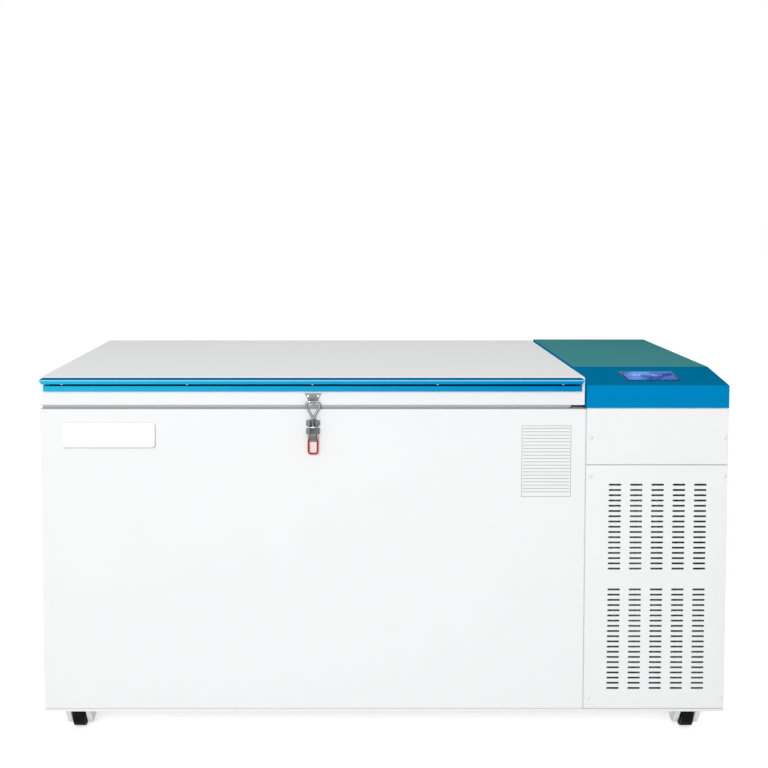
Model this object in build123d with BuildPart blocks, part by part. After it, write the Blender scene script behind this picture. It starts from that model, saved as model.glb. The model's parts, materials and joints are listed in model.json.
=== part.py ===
import os
from math import atan2, cos, sin, tan

from build123d import *

os.makedirs("parts", exist_ok=True)

# Overall sizes in millimetres: front is -Y, +X is to the right, Z is up from the floor
chest_width = 1570
housing_width = 410
body_depth = 900
caster_height = 92
pan_height = 9
shell_height = 879
gasket_height = 11.5
lid_height = 80
hood_lift = 3
hood_height = 93
hood_front_height = 66
hood_slope_depth = 190

# Sheet thicknesses and general clearances
sheet = 1.5
pan_sheet = 2
liner_sheet = 1.5
bend_radius = 4
seam_gap = 1.5
run_clearance = 0.05
rest_gap = 0.3

# Insulation and chamber
wall_foam = 130
floor_foam = 125
chamber_corner = 20
breaker_height = 10
lid_side_gap = 4
lid_plug_depth = 45
lid_plug_clearance = 10
lid_plug_bevel = 8
lid_flange = 1.5
gasket_left_inset = 7
gasket_right_inset = 40
gasket_front_inset = 2
gasket_back_inset = 7
gasket_width = 34
gasket_lip_height = 5
gasket_lip_step = 4

# Evaporator: flattened tube in bands round the liner
coil_turns = 6
coil_tube_height = 12
coil_tube_depth = 6
coil_pitch = 90
coil_first_rise = 60

# Handle trim along the lid's front
trim_out = 28
trim_end_inset = 8
trim_height = 40
trim_back = 2.5
nose_height = 17
nose_wall = 3
flange_out = 10
flange_height = 15.5
trim_cap_length = 10

# Rear hinges
hinge_count = 2
hinge_pitch = 900
hinge_axis_out = 12
hinge_axis_rise = 5
hinge_knuckle_radius = 9
hinge_pin_radius = 5
hinge_width = 90
hinge_leaf = 3
hinge_leaf_height = 60
hinge_knuckle_gap = 0.5

# Layout worked out from the sizes above
left_x = -(chest_width + housing_width) / 2
right_x = -left_x
chest_right_x = left_x + chest_width
hinge_reach = hinge_axis_out + hinge_knuckle_radius
front_y = trim_out - (trim_out + body_depth + hinge_reach) / 2
back_y = front_y + body_depth
pan_top = caster_height + pan_height
shell_top = pan_top + shell_height
gasket_top = shell_top + gasket_height
lid_bottom = gasket_top + lid_flange
lid_top = lid_bottom + lid_height
lid_right_x = chest_right_x - lid_side_gap
hood_bottom = shell_top + hood_lift
hood_top = hood_bottom + hood_height
chest_x = (left_x + chest_right_x) / 2
mid_y = (front_y + back_y) / 2

front_plane = Plane.XZ.offset(-front_y)
back_plane = Plane.XZ.offset(-back_y)


def span(x_min, x_max, y_min, y_max, radius=0, mode=Mode.ADD):
    """Rectangle between two corners, in the sketch that is open."""
    with Locations(((x_min + x_max) / 2, (y_min + y_max) / 2)):
        if radius:
            RectangleRounded(x_max - x_min, y_max - y_min, radius, mode=mode)
        else:
            Rectangle(x_max - x_min, y_max - y_min, mode=mode)


def cut_corner_span(x_min, x_max, y_min, y_max, flat):
    """Rectangle between two corners, with each corner cut off straight."""
    with Locations(((x_min + x_max) / 2, (y_min + y_max) / 2)):
        plain = Rectangle(x_max - x_min, y_max - y_min)
    chamfer(plain.vertices(), flat)


# Base pan: folded tray with welded cross rails that carry the chest
pan_corner = 8
pan_rail_width = 60
pan_rail_count = 6

with BuildPart() as base_pan:
    with BuildSketch(Plane.XY.offset(caster_height)):
        span(left_x, right_x, front_y, back_y)
    extrude(amount=pan_height)
    pan_ends = base_pan.edges().group_by(Axis.Z)[0].filter_by(Axis.Y)
    fillet(pan_ends, min(pan_corner, pan_height - seam_gap))
    with BuildSketch(Plane.XY.offset(pan_top)):
        inset = pan_corner + pan_sheet
        span(left_x + inset, right_x - inset, front_y + pan_sheet, back_y - pan_sheet)
    extrude(amount=pan_sheet - pan_height, mode=Mode.SUBTRACT)
    rail_pitch = (right_x - left_x - 2 * inset) / pan_rail_count
    with BuildSketch(Plane.XY.offset(caster_height + pan_sheet)):
        with GridLocations(rail_pitch, 1, pan_rail_count, 1):
            with Locations((0, mid_y)):
                Rectangle(pan_rail_width, body_depth - 2 * pan_sheet)
    extrude(amount=pan_height - pan_sheet)
base_pan.part.label = "base_pan"
export_step(base_pan.part, "parts/base_pan.step")


liner_left = left_x + wall_foam
liner_right = chest_right_x - wall_foam
liner_front = front_y + wall_foam
liner_back = back_y - wall_foam
liner_floor = pan_top + floor_foam
foam_top = shell_top - breaker_height
coil_levels = [liner_floor + coil_first_rise + turn * coil_pitch for turn in range(coil_turns)]
coil_reach = coil_tube_depth + rest_gap

# Chest shell: open-topped wrap of painted sheet
with BuildPart() as chest_shell:
    with BuildSketch(Plane.XY.offset(pan_top)):
        span(left_x, chest_right_x, front_y, back_y)
    extrude(amount=shell_height)
    fillet(chest_shell.edges().filter_by(Axis.Z), bend_radius)
    shell_mouth = chest_shell.faces().sort_by(Axis.Z)[-1]
    offset(amount=-sheet, openings=shell_mouth)
chest_shell.part.label = "chest_shell"
export_step(chest_shell.part, "parts/chest_shell.step")

# Chamber liner: open-topped tank
with BuildPart() as chamber_liner:
    with BuildSketch(Plane.XY.offset(liner_floor)):
        span(liner_left, liner_right, liner_front, liner_back, chamber_corner)
    extrude(amount=foam_top - liner_floor)
    liner_mouth = chamber_liner.faces().sort_by(Axis.Z)[-1]
    offset(amount=-liner_sheet, openings=liner_mouth)
chamber_liner.part.label = "chamber_liner"
export_step(chamber_liner.part, "parts/chamber_liner.step")

# Evaporator: bands of flattened tube that bear on the liner's outside
with BuildPart() as evaporator_coil:
    for level in coil_levels:
        with BuildSketch(Plane.XY.offset(level)):
            span(
                liner_left - coil_reach,
                liner_right + coil_reach,
                liner_front - coil_reach,
                liner_back + coil_reach,
            )
            span(
                liner_left - rest_gap,
                liner_right + rest_gap,
                liner_front - rest_gap,
                liner_back + rest_gap,
                mode=Mode.SUBTRACT,
            )
        extrude(amount=coil_tube_height)
evaporator_coil.part.label = "evaporator_coil"
export_step(evaporator_coil.part, "parts/evaporator_coil.step")

# Chest foam: fills the room between shell and liner, with a groove for each band of the coil
with BuildPart() as chest_foam:
    with BuildSketch(Plane.XY.offset(pan_top + sheet)):
        cut_corner_span(
            left_x + sheet,
            chest_right_x - sheet,
            front_y + sheet,
            back_y - sheet,
            bend_radius - sheet,
        )
    extrude(amount=foam_top - pan_top - sheet)
    with BuildSketch(Plane.XY.offset(foam_top)):
        span(liner_left, liner_right, liner_front, liner_back)
    extrude(amount=liner_floor - foam_top, mode=Mode.SUBTRACT)
    for level in coil_levels:
        with BuildSketch(Plane.XY.offset(level - rest_gap)):
            groove = coil_reach + rest_gap
            span(
                liner_left - groove,
                liner_right + groove,
                liner_front - groove,
                liner_back + groove,
            )
        extrude(amount=coil_tube_height + 2 * rest_gap, mode=Mode.SUBTRACT)
chest_foam.part.label = "chest_foam"
export_step(chest_foam.part, "parts/chest_foam.step")

# Breaker strip: closes the foam round the mouth, with a shallow step where the lid's plug enters
breaker_step = 4

with BuildPart() as rim_breaker:
    with BuildSketch(Plane.XY.offset(foam_top)):
        cut_corner_span(
            left_x + sheet,
            chest_right_x - sheet,
            front_y + sheet,
            back_y - sheet,
            bend_radius - sheet,
        )
        span(
            liner_left + liner_sheet,
            liner_right - liner_sheet,
            liner_front + liner_sheet,
            liner_back - liner_sheet,
            mode=Mode.SUBTRACT,
        )
    extrude(amount=breaker_height)
    breaker_mouth = rim_breaker.faces().sort_by(Axis.Z)[-1].inner_wires()[0].edges()
    chamfer(breaker_mouth, breaker_step)
rim_breaker.part.label = "rim_breaker"
export_step(rim_breaker.part, "parts/rim_breaker.step")

# Name plate: bare raised plate on the chest's front, near its upper left corner
plate_width = 270
plate_height = 76
plate_thickness = 4
plate_left_inset = 62
plate_top_drop = 37
plate_corner = 8

with BuildPart() as name_plate:
    with BuildSketch(front_plane):
        plate_left = left_x + plate_left_inset
        plate_top = shell_top - plate_top_drop
        span(plate_left, plate_left + plate_width, plate_top - plate_height, plate_top, plate_corner)
    extrude(amount=plate_thickness)
name_plate.part.label = "name_plate"
export_step(name_plate.part, "parts/name_plate.step")


# Lid: painted pan over foam, with a moulded liner whose plug drops into the chamber's mouth
plug_left = liner_left + liner_sheet + lid_plug_clearance
plug_right = liner_right - liner_sheet - lid_plug_clearance
plug_front = liner_front + liner_sheet + lid_plug_clearance
plug_back = liner_back - liner_sheet - lid_plug_clearance
plug_bottom = shell_top - lid_plug_depth

with BuildPart() as lid_shell:
    with BuildSketch(Plane.XY.offset(lid_bottom)):
        span(left_x, lid_right_x, front_y, back_y)
    extrude(amount=lid_height)
    fillet(lid_shell.edges().filter_by(Axis.Z), bend_radius)
    lid_underside = lid_shell.faces().sort_by(Axis.Z)[0]
    offset(amount=-sheet, openings=lid_underside)
lid_shell.part.label = "lid_shell"
export_step(lid_shell.part, "parts/lid_shell.step")

with BuildPart() as lid_liner:
    with BuildSketch(Plane.XY.offset(gasket_top)):
        cut_corner_span(
            left_x + sheet,
            lid_right_x - sheet,
            front_y + sheet,
            back_y - sheet,
            bend_radius - sheet,
        )
    extrude(amount=lid_flange)
    with BuildSketch(Plane.XY.offset(gasket_top)):
        span(plug_left, plug_right, plug_front, plug_back)
    extrude(amount=plug_bottom - gasket_top)
    chamfer(lid_liner.faces().sort_by(Axis.Z)[0].edges(), lid_plug_bevel)
    with BuildSketch(Plane.XY.offset(lid_bottom)):
        span(
            plug_left + liner_sheet,
            plug_right - liner_sheet,
            plug_front + liner_sheet,
            plug_back - liner_sheet,
        )
    extrude(amount=plug_bottom + lid_plug_bevel - lid_bottom, mode=Mode.SUBTRACT)
lid_liner.part.label = "lid_liner"
export_step(lid_liner.part, "parts/lid_liner.step")

with BuildPart() as lid_foam:
    with BuildSketch(Plane.XY.offset(lid_bottom)):
        cut_corner_span(
            left_x + sheet,
            lid_right_x - sheet,
            front_y + sheet,
            back_y - sheet,
            bend_radius - sheet,
        )
    extrude(amount=lid_height - sheet)
    with BuildSketch(Plane.XY.offset(lid_bottom)):
        span(
            plug_left + liner_sheet,
            plug_right - liner_sheet,
            plug_front + liner_sheet,
            plug_back - liner_sheet,
        )
    extrude(amount=plug_bottom + lid_plug_bevel - lid_bottom)
lid_foam.part.label = "lid_foam"
export_step(lid_foam.part, "parts/lid_foam.step")

# Lid gasket: a base strip and a narrower sealing lip below it
gasket_left = left_x + gasket_left_inset
gasket_right = lid_right_x - gasket_right_inset
gasket_front = front_y + gasket_front_inset
gasket_back = back_y - gasket_back_inset

with BuildPart() as lid_gasket:
    for bottom, height, inset in (
        (shell_top + gasket_lip_height, gasket_height - gasket_lip_height, 0),
        (shell_top, gasket_lip_height, gasket_lip_step),
    ):
        with BuildSketch(Plane.XY.offset(bottom)):
            span(
                gasket_left + inset,
                gasket_right - inset,
                gasket_front + inset,
                gasket_back - inset,
            )
            span(
                gasket_left + gasket_width - inset,
                gasket_right - gasket_width + inset,
                gasket_front + gasket_width - inset,
                gasket_back - gasket_width + inset,
                mode=Mode.SUBTRACT,
            )
        extrude(amount=height)
lid_gasket.part.label = "lid_gasket"
export_step(lid_gasket.part, "parts/lid_gasket.step")


# Handle trim: hollow nose to pull on, over a backing profile that makes the groove and the lower flange
nose_drop = 5
nose_radius = 5
flange_radius = 2
trim_left = left_x + trim_end_inset
trim_right = lid_right_x - trim_end_inset
groove_top = lid_top - nose_height
groove_bottom = lid_top - trim_height + flange_height

with BuildSketch(Plane.YZ) as nose_section:
    with BuildLine():
        Polyline(
            (front_y, lid_top),
            (front_y - trim_out, lid_top - nose_drop),
            (front_y - trim_out, groove_top),
            (front_y, groove_top),
            close=True,
        )
    make_face()
    fillet(nose_section.vertices().group_by(Axis.X)[0], nose_radius)

with BuildSketch(Plane.YZ) as flange_section:
    span(front_y - trim_back, front_y, groove_bottom, groove_top)
    span(front_y - flange_out, front_y, lid_top - trim_height, groove_bottom)
    fillet(flange_section.vertices().group_by(Axis.X)[0], flange_radius)

with BuildPart() as handle_trim:
    with BuildSketch(Plane.YZ.offset(trim_left + trim_cap_length)):
        add(nose_section.sketch_local)
        span(
            front_y - trim_out + 2 * nose_wall,
            front_y - trim_back - nose_wall,
            groove_top + nose_wall,
            lid_top - nose_drop - nose_wall,
            mode=Mode.SUBTRACT,
        )
    extrude(amount=trim_right - trim_left - 2 * trim_cap_length)
handle_trim.part.label = "handle_trim"
export_step(handle_trim.part, "parts/handle_trim.step")

with BuildPart() as trim_flange:
    with BuildSketch(Plane.YZ.offset(trim_left + trim_cap_length)):
        add(flange_section.sketch_local)
    extrude(amount=trim_right - trim_left - 2 * trim_cap_length)
trim_flange.part.label = "trim_flange"
export_step(trim_flange.part, "parts/trim_flange.step")

# End caps: the trim's outline with its outer front corner cut off in plan
with BuildPart() as trim_end_caps:
    for cap_start in (trim_left, trim_right - trim_cap_length):
        with BuildSketch(Plane.YZ.offset(cap_start)):
            add(nose_section.sketch_local)
            add(flange_section.sketch_local)
        extrude(amount=trim_cap_length)
    with BuildSketch(Plane.XY.offset(lid_top - trim_height)):
        cut_corner_span(trim_left, trim_right, front_y - trim_out, front_y + trim_out, trim_cap_length)
    extrude(amount=trim_height, mode=Mode.INTERSECT)
trim_end_caps.part.label = "trim_end_caps"
export_step(trim_end_caps.part, "parts/trim_end_caps.step")


# Toggle latch on the chest's front
latch_pivot_out = 12
latch_pivot_drop = 35
latch_crank = 16
latch_line_out = 11
bail_length = 75
bail_width = 51
bail_apex = 29
bail_wire = 2.5
wire_sides = 8
bail_corner = 3
bail_foot = 1.5
stem_radius = 3.5
nut_radius = 5.6
nut_height = 4
lever_half = 8.5
lever_sheet = 2
lever_half_width = 7
lever_length = 50
lever_web_length = 14
rivet_radius = 3
trunnion_radius = 5
ear_gap = 0.5
ear_radius = 8
latch_base_width = 30
latch_base_height = 74
latch_base_rise = 5
latch_base_corner = 4
grip_wire = 2.4
grip_drop = 42
grip_lap = 14
grip_corner = 5

latch_x = chest_x
pivot_y = front_y - latch_pivot_out
pivot_z = shell_top - latch_pivot_drop
loop_y = front_y - latch_line_out
trunnion_z = pivot_z - latch_crank
crossbar_z = trunnion_z + bail_length
lever_outer = lever_half + lever_sheet
ear_inner = lever_outer + ear_gap
ear_outer = ear_inner + lever_sheet
pin_hole_radius = rivet_radius + run_clearance
base_top = pivot_z + latch_base_rise

with BuildPart() as latch_base:
    with BuildSketch(front_plane):
        with Locations((latch_x, base_top - latch_base_height / 2)):
            plate = Rectangle(latch_base_width, latch_base_height)
        chamfer(plate.vertices(), latch_base_corner)
    extrude(amount=lever_sheet)
    for ear_start in (latch_x - ear_outer, latch_x + ear_inner):
        with BuildSketch(Plane.YZ.offset(ear_start)) as ear_sketch:
            span(pivot_y - ear_radius, front_y - lever_sheet, pivot_z - ear_radius, base_top)
            chamfer(ear_sketch.vertices().group_by(Axis.X)[0], ear_radius / 2)
        extrude(amount=lever_sheet)
    for side in (-1, 1):
        with BuildSketch(Plane.YZ.offset(latch_x + side * ear_inner)):
            with Locations((pivot_y, pivot_z)):
                Circle(rivet_radius)
        extrude(amount=side * (lever_half - ear_inner))
latch_base.part.label = "latch_base"
export_step(latch_base.part, "parts/latch_base.step")

# Lever: pressed channel on the base's rivets, with a cross pin for the bail and a web below it
lever_bottom = pivot_z - lever_length

with BuildPart() as latch_lever:
    for side_start in (latch_x - lever_outer, latch_x + lever_half):
        with BuildSketch(Plane.YZ.offset(side_start)) as side_sketch:
            span(
                pivot_y - lever_half_width,
                pivot_y + lever_half_width,
                lever_bottom,
                pivot_z + lever_half_width,
            )
            chamfer(side_sketch.vertices(), lever_half_width / 2)
            with Locations((pivot_y, pivot_z)):
                Circle(pin_hole_radius, mode=Mode.SUBTRACT)
        extrude(amount=lever_sheet)
    with BuildSketch(Plane.YZ.offset(latch_x)):
        with Locations((loop_y, trunnion_z)):
            Circle(rivet_radius)
    extrude(amount=lever_half, both=True)
    with BuildSketch(Plane.XZ.offset(lever_half_width - pivot_y)):
        web_bottom = lever_bottom + lever_half_width / 2
        span(latch_x - lever_half, latch_x + lever_half, web_bottom, web_bottom + lever_web_length)
    extrude(amount=-lever_sheet)
latch_lever.part.label = "latch_lever"
export_step(latch_lever.part, "parts/latch_lever.step")

# Grip: coated wire bent to a U, its legs lying along the lever's sides
grip_x = lever_outer + grip_wire + run_clearance
grip_top = lever_bottom + grip_lap
grip_bottom = lever_bottom - grip_drop + grip_wire

with BuildPart() as latch_grip:
    with BuildLine(Plane.XZ.offset(-pivot_y)):
        Polyline(
            (latch_x - grip_x, grip_top),
            (latch_x - grip_x, grip_bottom + grip_corner),
            (latch_x - grip_x + grip_corner, grip_bottom),
            (latch_x + grip_x - grip_corner, grip_bottom),
            (latch_x + grip_x, grip_bottom + grip_corner),
            (latch_x + grip_x, grip_top),
        )
    with BuildSketch(Plane((latch_x - grip_x, pivot_y, grip_top), z_dir=(0, 0, -1))):
        RegularPolygon(grip_wire, wire_sides)
    sweep(transition=Transition.RIGHT)
latch_grip.part.label = "latch_grip"
export_step(latch_grip.part, "parts/latch_grip.step")

# Bail: triangular wire loop welded to a stem, whose end block turns on the lever's cross pin
bail_half = bail_width / 2 - bail_wire
apex_z = trunnion_z + bail_apex
leg_angle = atan2(crossbar_z - apex_z, bail_half - bail_foot)
leg_x = latch_x + bail_half - bail_corner * cos(leg_angle)
leg_z = crossbar_z - bail_corner * sin(leg_angle)

with BuildPart() as latch_loop:
    with BuildLine(Plane.XZ.offset(-loop_y)) as bail_path:
        Polyline(
            (latch_x - bail_foot, apex_z),
            (2 * latch_x - leg_x, leg_z),
            (latch_x - bail_half + bail_corner, crossbar_z),
            (latch_x + bail_half - bail_corner, crossbar_z),
            (leg_x, leg_z),
            (latch_x + bail_foot, apex_z),
        )
    with BuildSketch(Plane(bail_path.line @ 0, z_dir=bail_path.line % 0)):
        RegularPolygon(bail_wire, wire_sides)
    sweep(transition=Transition.RIGHT)
    with BuildSketch(Plane.XY.offset(trunnion_z)):
        with Locations((latch_x, loop_y)):
            RegularPolygon(stem_radius, 8)
    extrude(amount=bail_apex)
    for nut_start in (trunnion_z + trunnion_radius, apex_z - nut_height):
        with BuildSketch(Plane.XY.offset(nut_start)):
            with Locations((latch_x, loop_y)):
                RegularPolygon(nut_radius, 6)
        extrude(amount=nut_height)
    with BuildSketch(Plane.YZ.offset(latch_x)):
        with Locations((loop_y, trunnion_z)):
            Rectangle(2 * trunnion_radius, 2 * trunnion_radius)
    extrude(amount=lever_half - rest_gap, both=True)
    with BuildSketch(Plane.YZ.offset(latch_x)):
        with Locations((loop_y, trunnion_z)):
            Circle(pin_hole_radius)
    extrude(amount=lever_half, both=True, mode=Mode.SUBTRACT)
latch_loop.part.label = "latch_loop"
export_step(latch_loop.part, "parts/latch_loop.step")

# Keeper on the lid: tapered plate whose lower end is bent out and up into a hook
keeper_height = 22
keeper_top_width = 49
keeper_bottom_width = 23
keeper_sheet = 2
hook_width = 14
hook_room = 6.5
hook_lip = 4

hook_floor = crossbar_z - bail_wire - rest_gap
hook_lip_out = latch_line_out + bail_wire + hook_room
keeper_top = crossbar_z + keeper_height

with BuildPart() as latch_keeper:
    with BuildSketch(front_plane):
        with BuildLine():
            Polyline(
                (latch_x - keeper_top_width / 2, keeper_top),
                (latch_x + keeper_top_width / 2, keeper_top),
                (latch_x + keeper_bottom_width / 2, hook_floor),
                (latch_x - keeper_bottom_width / 2, hook_floor),
                close=True,
            )
        make_face()
    extrude(amount=keeper_sheet)
    with BuildSketch(Plane.YZ.offset(latch_x)):
        hook_y = front_y - hook_lip_out - keeper_sheet
        span(hook_y, front_y, hook_floor - keeper_sheet, crossbar_z + hook_lip)
        span(hook_y + keeper_sheet, front_y, hook_floor, crossbar_z + keeper_height, mode=Mode.SUBTRACT)
    extrude(amount=hook_width / 2, both=True)
latch_keeper.part.label = "latch_keeper"
export_step(latch_keeper.part, "parts/latch_keeper.step")

# Rear hinges: a knuckle on each leaf, the lower one with its pressed pin
hinge_axis_y = back_y + hinge_axis_out
hinge_axis_z = shell_top + hinge_axis_rise
hinge_bore = hinge_pin_radius + run_clearance
hinge_xs = [chest_x + (place - (hinge_count - 1) / 2) * hinge_pitch for place in range(hinge_count)]
knuckle_length = (hinge_width - hinge_knuckle_gap) / 2
hinge_web = 3 * hinge_knuckle_radius

with BuildSketch(Plane.YZ) as hinge_section:
    with Locations((hinge_axis_y, hinge_axis_z)):
        Circle(hinge_knuckle_radius)
    with BuildLine():
        Polyline(
            (back_y, hinge_axis_z - hinge_web),
            (back_y + hinge_leaf, hinge_axis_z - hinge_web),
            (hinge_axis_y + hinge_knuckle_radius / 2, hinge_axis_z - hinge_knuckle_radius * 0.8),
            (hinge_axis_y, hinge_axis_z),
            (back_y, hinge_axis_z - hinge_leaf),
            close=True,
        )
    make_face()

with BuildPart() as hinge_lower_leaves:
    for hinge_x in hinge_xs:
        with BuildSketch(Plane.YZ.offset(hinge_x - hinge_width / 2)):
            add(hinge_section.sketch_local)
        extrude(amount=knuckle_length)
        with BuildSketch(Plane.YZ.offset(hinge_x - hinge_knuckle_gap / 2)):
            with Locations((hinge_axis_y, hinge_axis_z)):
                Circle(hinge_pin_radius)
        extrude(amount=hinge_width / 2 + hinge_knuckle_gap / 2)
        with BuildSketch(back_plane):
            leaf_top = hinge_axis_z - hinge_web
            span(
                hinge_x - hinge_width / 2,
                hinge_x + hinge_width / 2,
                leaf_top - hinge_leaf_height,
                leaf_top,
            )
        extrude(amount=-hinge_leaf)
hinge_lower_leaves.part.label = "hinge_lower_leaves"
export_step(hinge_lower_leaves.part, "parts/hinge_lower_leaves.step")

with BuildPart() as hinge_upper_leaves:
    for hinge_x in hinge_xs:
        with BuildSketch(Plane.YZ.offset(hinge_x + hinge_width / 2)):
            add(mirror(hinge_section.sketch_local, Plane.XZ.offset(-hinge_axis_z), mode=Mode.PRIVATE))
            with Locations((hinge_axis_y, hinge_axis_z)):
                Circle(hinge_bore, mode=Mode.SUBTRACT)
        extrude(amount=-knuckle_length)
        with BuildSketch(back_plane):
            leaf_bottom = hinge_axis_z + hinge_web
            span(
                hinge_x - hinge_width / 2,
                hinge_x + hinge_width / 2,
                leaf_bottom,
                min(leaf_bottom + hinge_leaf_height, lid_top - bend_radius),
            )
        extrude(amount=-hinge_leaf)
hinge_upper_leaves.part.label = "hinge_upper_leaves"
export_step(hinge_upper_leaves.part, "parts/hinge_upper_leaves.step")


# Machine housing: frame, deck and removable panels
panel_depth = 20
upper_panel_height = 164.5
post = 25
post_sheet = 2
deck_sheet = 2
slot_width = 35
slot_height = 5.5
slot_columns = 5
slot_pitch_x = 61.5
slot_pitch_z = 15.35
upper_rows = 17
lower_rows = 20
skipped_rows = 3
first_slot_drop = 57.75
rear_slot_width = 130
rear_slot_height = 8
rear_slot_columns = 2
rear_slot_rows = 8
rear_slot_pitch_x = 165
rear_slot_pitch_z = 30
rear_slot_drop = 120

house_left = chest_right_x + seam_gap
house_x = (house_left + right_x) / 2
seam_z = hood_bottom - upper_panel_height
grille_top = seam_z - seam_gap
deck_top = pan_top + deck_sheet
panel_back = front_y + panel_depth
side_inner = right_x - sheet
rear_inner = back_y - sheet
post_left = house_left
post_right = side_inner

# Frame: four angle posts welded to the deck, tied by rails under the hood
frame_top = hood_bottom

with BuildPart() as housing_frame:
    with BuildSketch(Plane.XY.offset(pan_top)):
        span(post_left, post_right, panel_back, rear_inner)
    extrude(amount=deck_sheet)
    with BuildSketch(Plane.XY.offset(deck_top)):
        span(post_left, post_right, panel_back, rear_inner)
        span(
            post_left + post_sheet,
            post_right - post_sheet,
            panel_back + post_sheet,
            rear_inner - post_sheet,
            mode=Mode.SUBTRACT,
        )
        span(post_left + post, post_right - post, panel_back, rear_inner, mode=Mode.SUBTRACT)
        span(post_left, post_right, panel_back + post, rear_inner - post, mode=Mode.SUBTRACT)
    extrude(amount=frame_top - deck_top)
    with BuildSketch(Plane.XY.offset(frame_top - post)):
        span(post_left, post_right, panel_back, rear_inner)
        span(
            post_left + post_sheet,
            post_right - post_sheet,
            panel_back + post_sheet,
            rear_inner - post_sheet,
            mode=Mode.SUBTRACT,
        )
    extrude(amount=post)
housing_frame.part.label = "housing_frame"
export_step(housing_frame.part, "parts/housing_frame.step")

with BuildPart() as upper_front_panel:
    with BuildSketch(front_plane):
        span(house_left, right_x, seam_z, hood_bottom)
    extrude(amount=-panel_depth)
    fillet(upper_front_panel.faces().sort_by(Axis.Y)[0].edges(), bend_radius)
    offset(amount=-sheet, openings=upper_front_panel.faces().sort_by(Axis.Y)[-1])
upper_front_panel.part.label = "upper_front_panel"
export_step(upper_front_panel.part, "parts/upper_front_panel.step")

# Grille panel: the louvre slots run on one pitch in two blocks
with BuildPart() as grille_panel:
    with BuildSketch(front_plane):
        span(house_left, right_x, pan_top, grille_top)
    extrude(amount=-panel_depth)
    fillet(grille_panel.faces().sort_by(Axis.Y)[0].edges(), bend_radius)
    offset(amount=-sheet, openings=grille_panel.faces().sort_by(Axis.Y)[-1])
    first_slot = grille_top - first_slot_drop
    lower_slot = first_slot - (upper_rows + skipped_rows) * slot_pitch_z
    with BuildSketch(front_plane):
        for top_slot, rows in ((first_slot, upper_rows), (lower_slot, lower_rows)):
            with Locations((house_x, top_slot - (rows - 1) / 2 * slot_pitch_z)):
                with GridLocations(slot_pitch_x, slot_pitch_z, slot_columns, rows):
                    Rectangle(slot_width, slot_height)
    extrude(amount=-2 * sheet, mode=Mode.SUBTRACT)
grille_panel.part.label = "grille_panel"
export_step(grille_panel.part, "parts/grille_panel.step")

with BuildPart() as side_panel:
    with BuildSketch(Plane.XY.offset(pan_top)):
        span(side_inner, right_x, panel_back, back_y)
    extrude(amount=hood_bottom - pan_top)
side_panel.part.label = "side_panel"
export_step(side_panel.part, "parts/side_panel.step")

# Service plate at the foot of the rear, cut out for the power inlet and switch, and the vented rear panel above it
inlet_width = 44
inlet_height = 32
inlet_depth = 26
inlet_flange = 6
inlet_plate = 3
inlet_recess_wall = 5
inlet_pin_width = 2.5
inlet_pin_height = 7
inlet_pin_pitch = 9
switch_width = 30
switch_height = 24
switch_depth = 14
switch_spacing = 130
socket_rise = 95
service_height = 165

socket_z = pan_top + socket_rise
inlet_x = house_x - switch_spacing / 2
switch_x = house_x + switch_spacing / 2

service_top = pan_top + service_height

with BuildPart() as service_plate:
    with BuildSketch(back_plane):
        span(house_left, side_inner, pan_top, service_top)
        with Locations((inlet_x, socket_z)):
            Rectangle(inlet_width + 2 * rest_gap, inlet_height + 2 * rest_gap, mode=Mode.SUBTRACT)
        with Locations((switch_x, socket_z)):
            Rectangle(switch_width + 2 * rest_gap, switch_height + 2 * rest_gap, mode=Mode.SUBTRACT)
    extrude(amount=sheet)
service_plate.part.label = "service_plate"
export_step(service_plate.part, "parts/service_plate.step")

with BuildPart() as rear_panel:
    with BuildSketch(back_plane):
        span(house_left, side_inner, service_top + seam_gap, hood_bottom)
        with Locations((house_x, hood_bottom - rear_slot_drop - (rear_slot_rows - 1) / 2 * rear_slot_pitch_z)):
            with GridLocations(rear_slot_pitch_x, rear_slot_pitch_z, rear_slot_columns, rear_slot_rows):
                Rectangle(rear_slot_width, rear_slot_height, mode=Mode.SUBTRACT)
    extrude(amount=sheet)
rear_panel.part.label = "rear_panel"
export_step(rear_panel.part, "parts/rear_panel.step")

with BuildPart() as power_inlet:
    with BuildSketch(back_plane):
        with Locations((inlet_x, socket_z)):
            Rectangle(inlet_width, inlet_height)
    extrude(amount=inlet_depth)
    with BuildSketch(back_plane):
        with Locations((inlet_x, socket_z)):
            Rectangle(inlet_width + 2 * inlet_flange, inlet_height + 2 * inlet_flange)
    extrude(amount=-inlet_plate)
    with BuildSketch(Plane.XZ.offset(-back_y - inlet_plate)):
        with Locations((inlet_x, socket_z)):
            Rectangle(inlet_width - 2 * inlet_recess_wall, inlet_height - 2 * inlet_recess_wall)
            with GridLocations(inlet_pin_pitch, 1, 3, 1):
                Rectangle(inlet_pin_width, inlet_pin_height, mode=Mode.SUBTRACT)
    extrude(amount=inlet_depth + inlet_plate - inlet_recess_wall, mode=Mode.SUBTRACT)
power_inlet.part.label = "power_inlet"
export_step(power_inlet.part, "parts/power_inlet.step")

# Power switch: frame in the service plate and a rocker that tips in it
switch_flange = 4
switch_plate = 2
switch_wall = 2.5
rocker_gap = 0.6
rocker_depth = 4
rocker_rise = 2

with BuildPart() as power_switch:
    with BuildSketch(back_plane):
        with Locations((switch_x, socket_z)):
            Rectangle(switch_width, switch_height)
    extrude(amount=switch_depth)
    with BuildSketch(back_plane):
        with Locations((switch_x, socket_z)):
            Rectangle(switch_width + 2 * switch_flange, switch_height + 2 * switch_flange)
    extrude(amount=-switch_plate)
    with BuildSketch(Plane.XZ.offset(-back_y - switch_plate)):
        with Locations((switch_x, socket_z)):
            Rectangle(switch_width - 2 * switch_wall, switch_height - 2 * switch_wall)
    extrude(amount=switch_depth + switch_plate - switch_wall, mode=Mode.SUBTRACT)
power_switch.part.label = "power_switch"
export_step(power_switch.part, "parts/power_switch.step")

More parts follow.
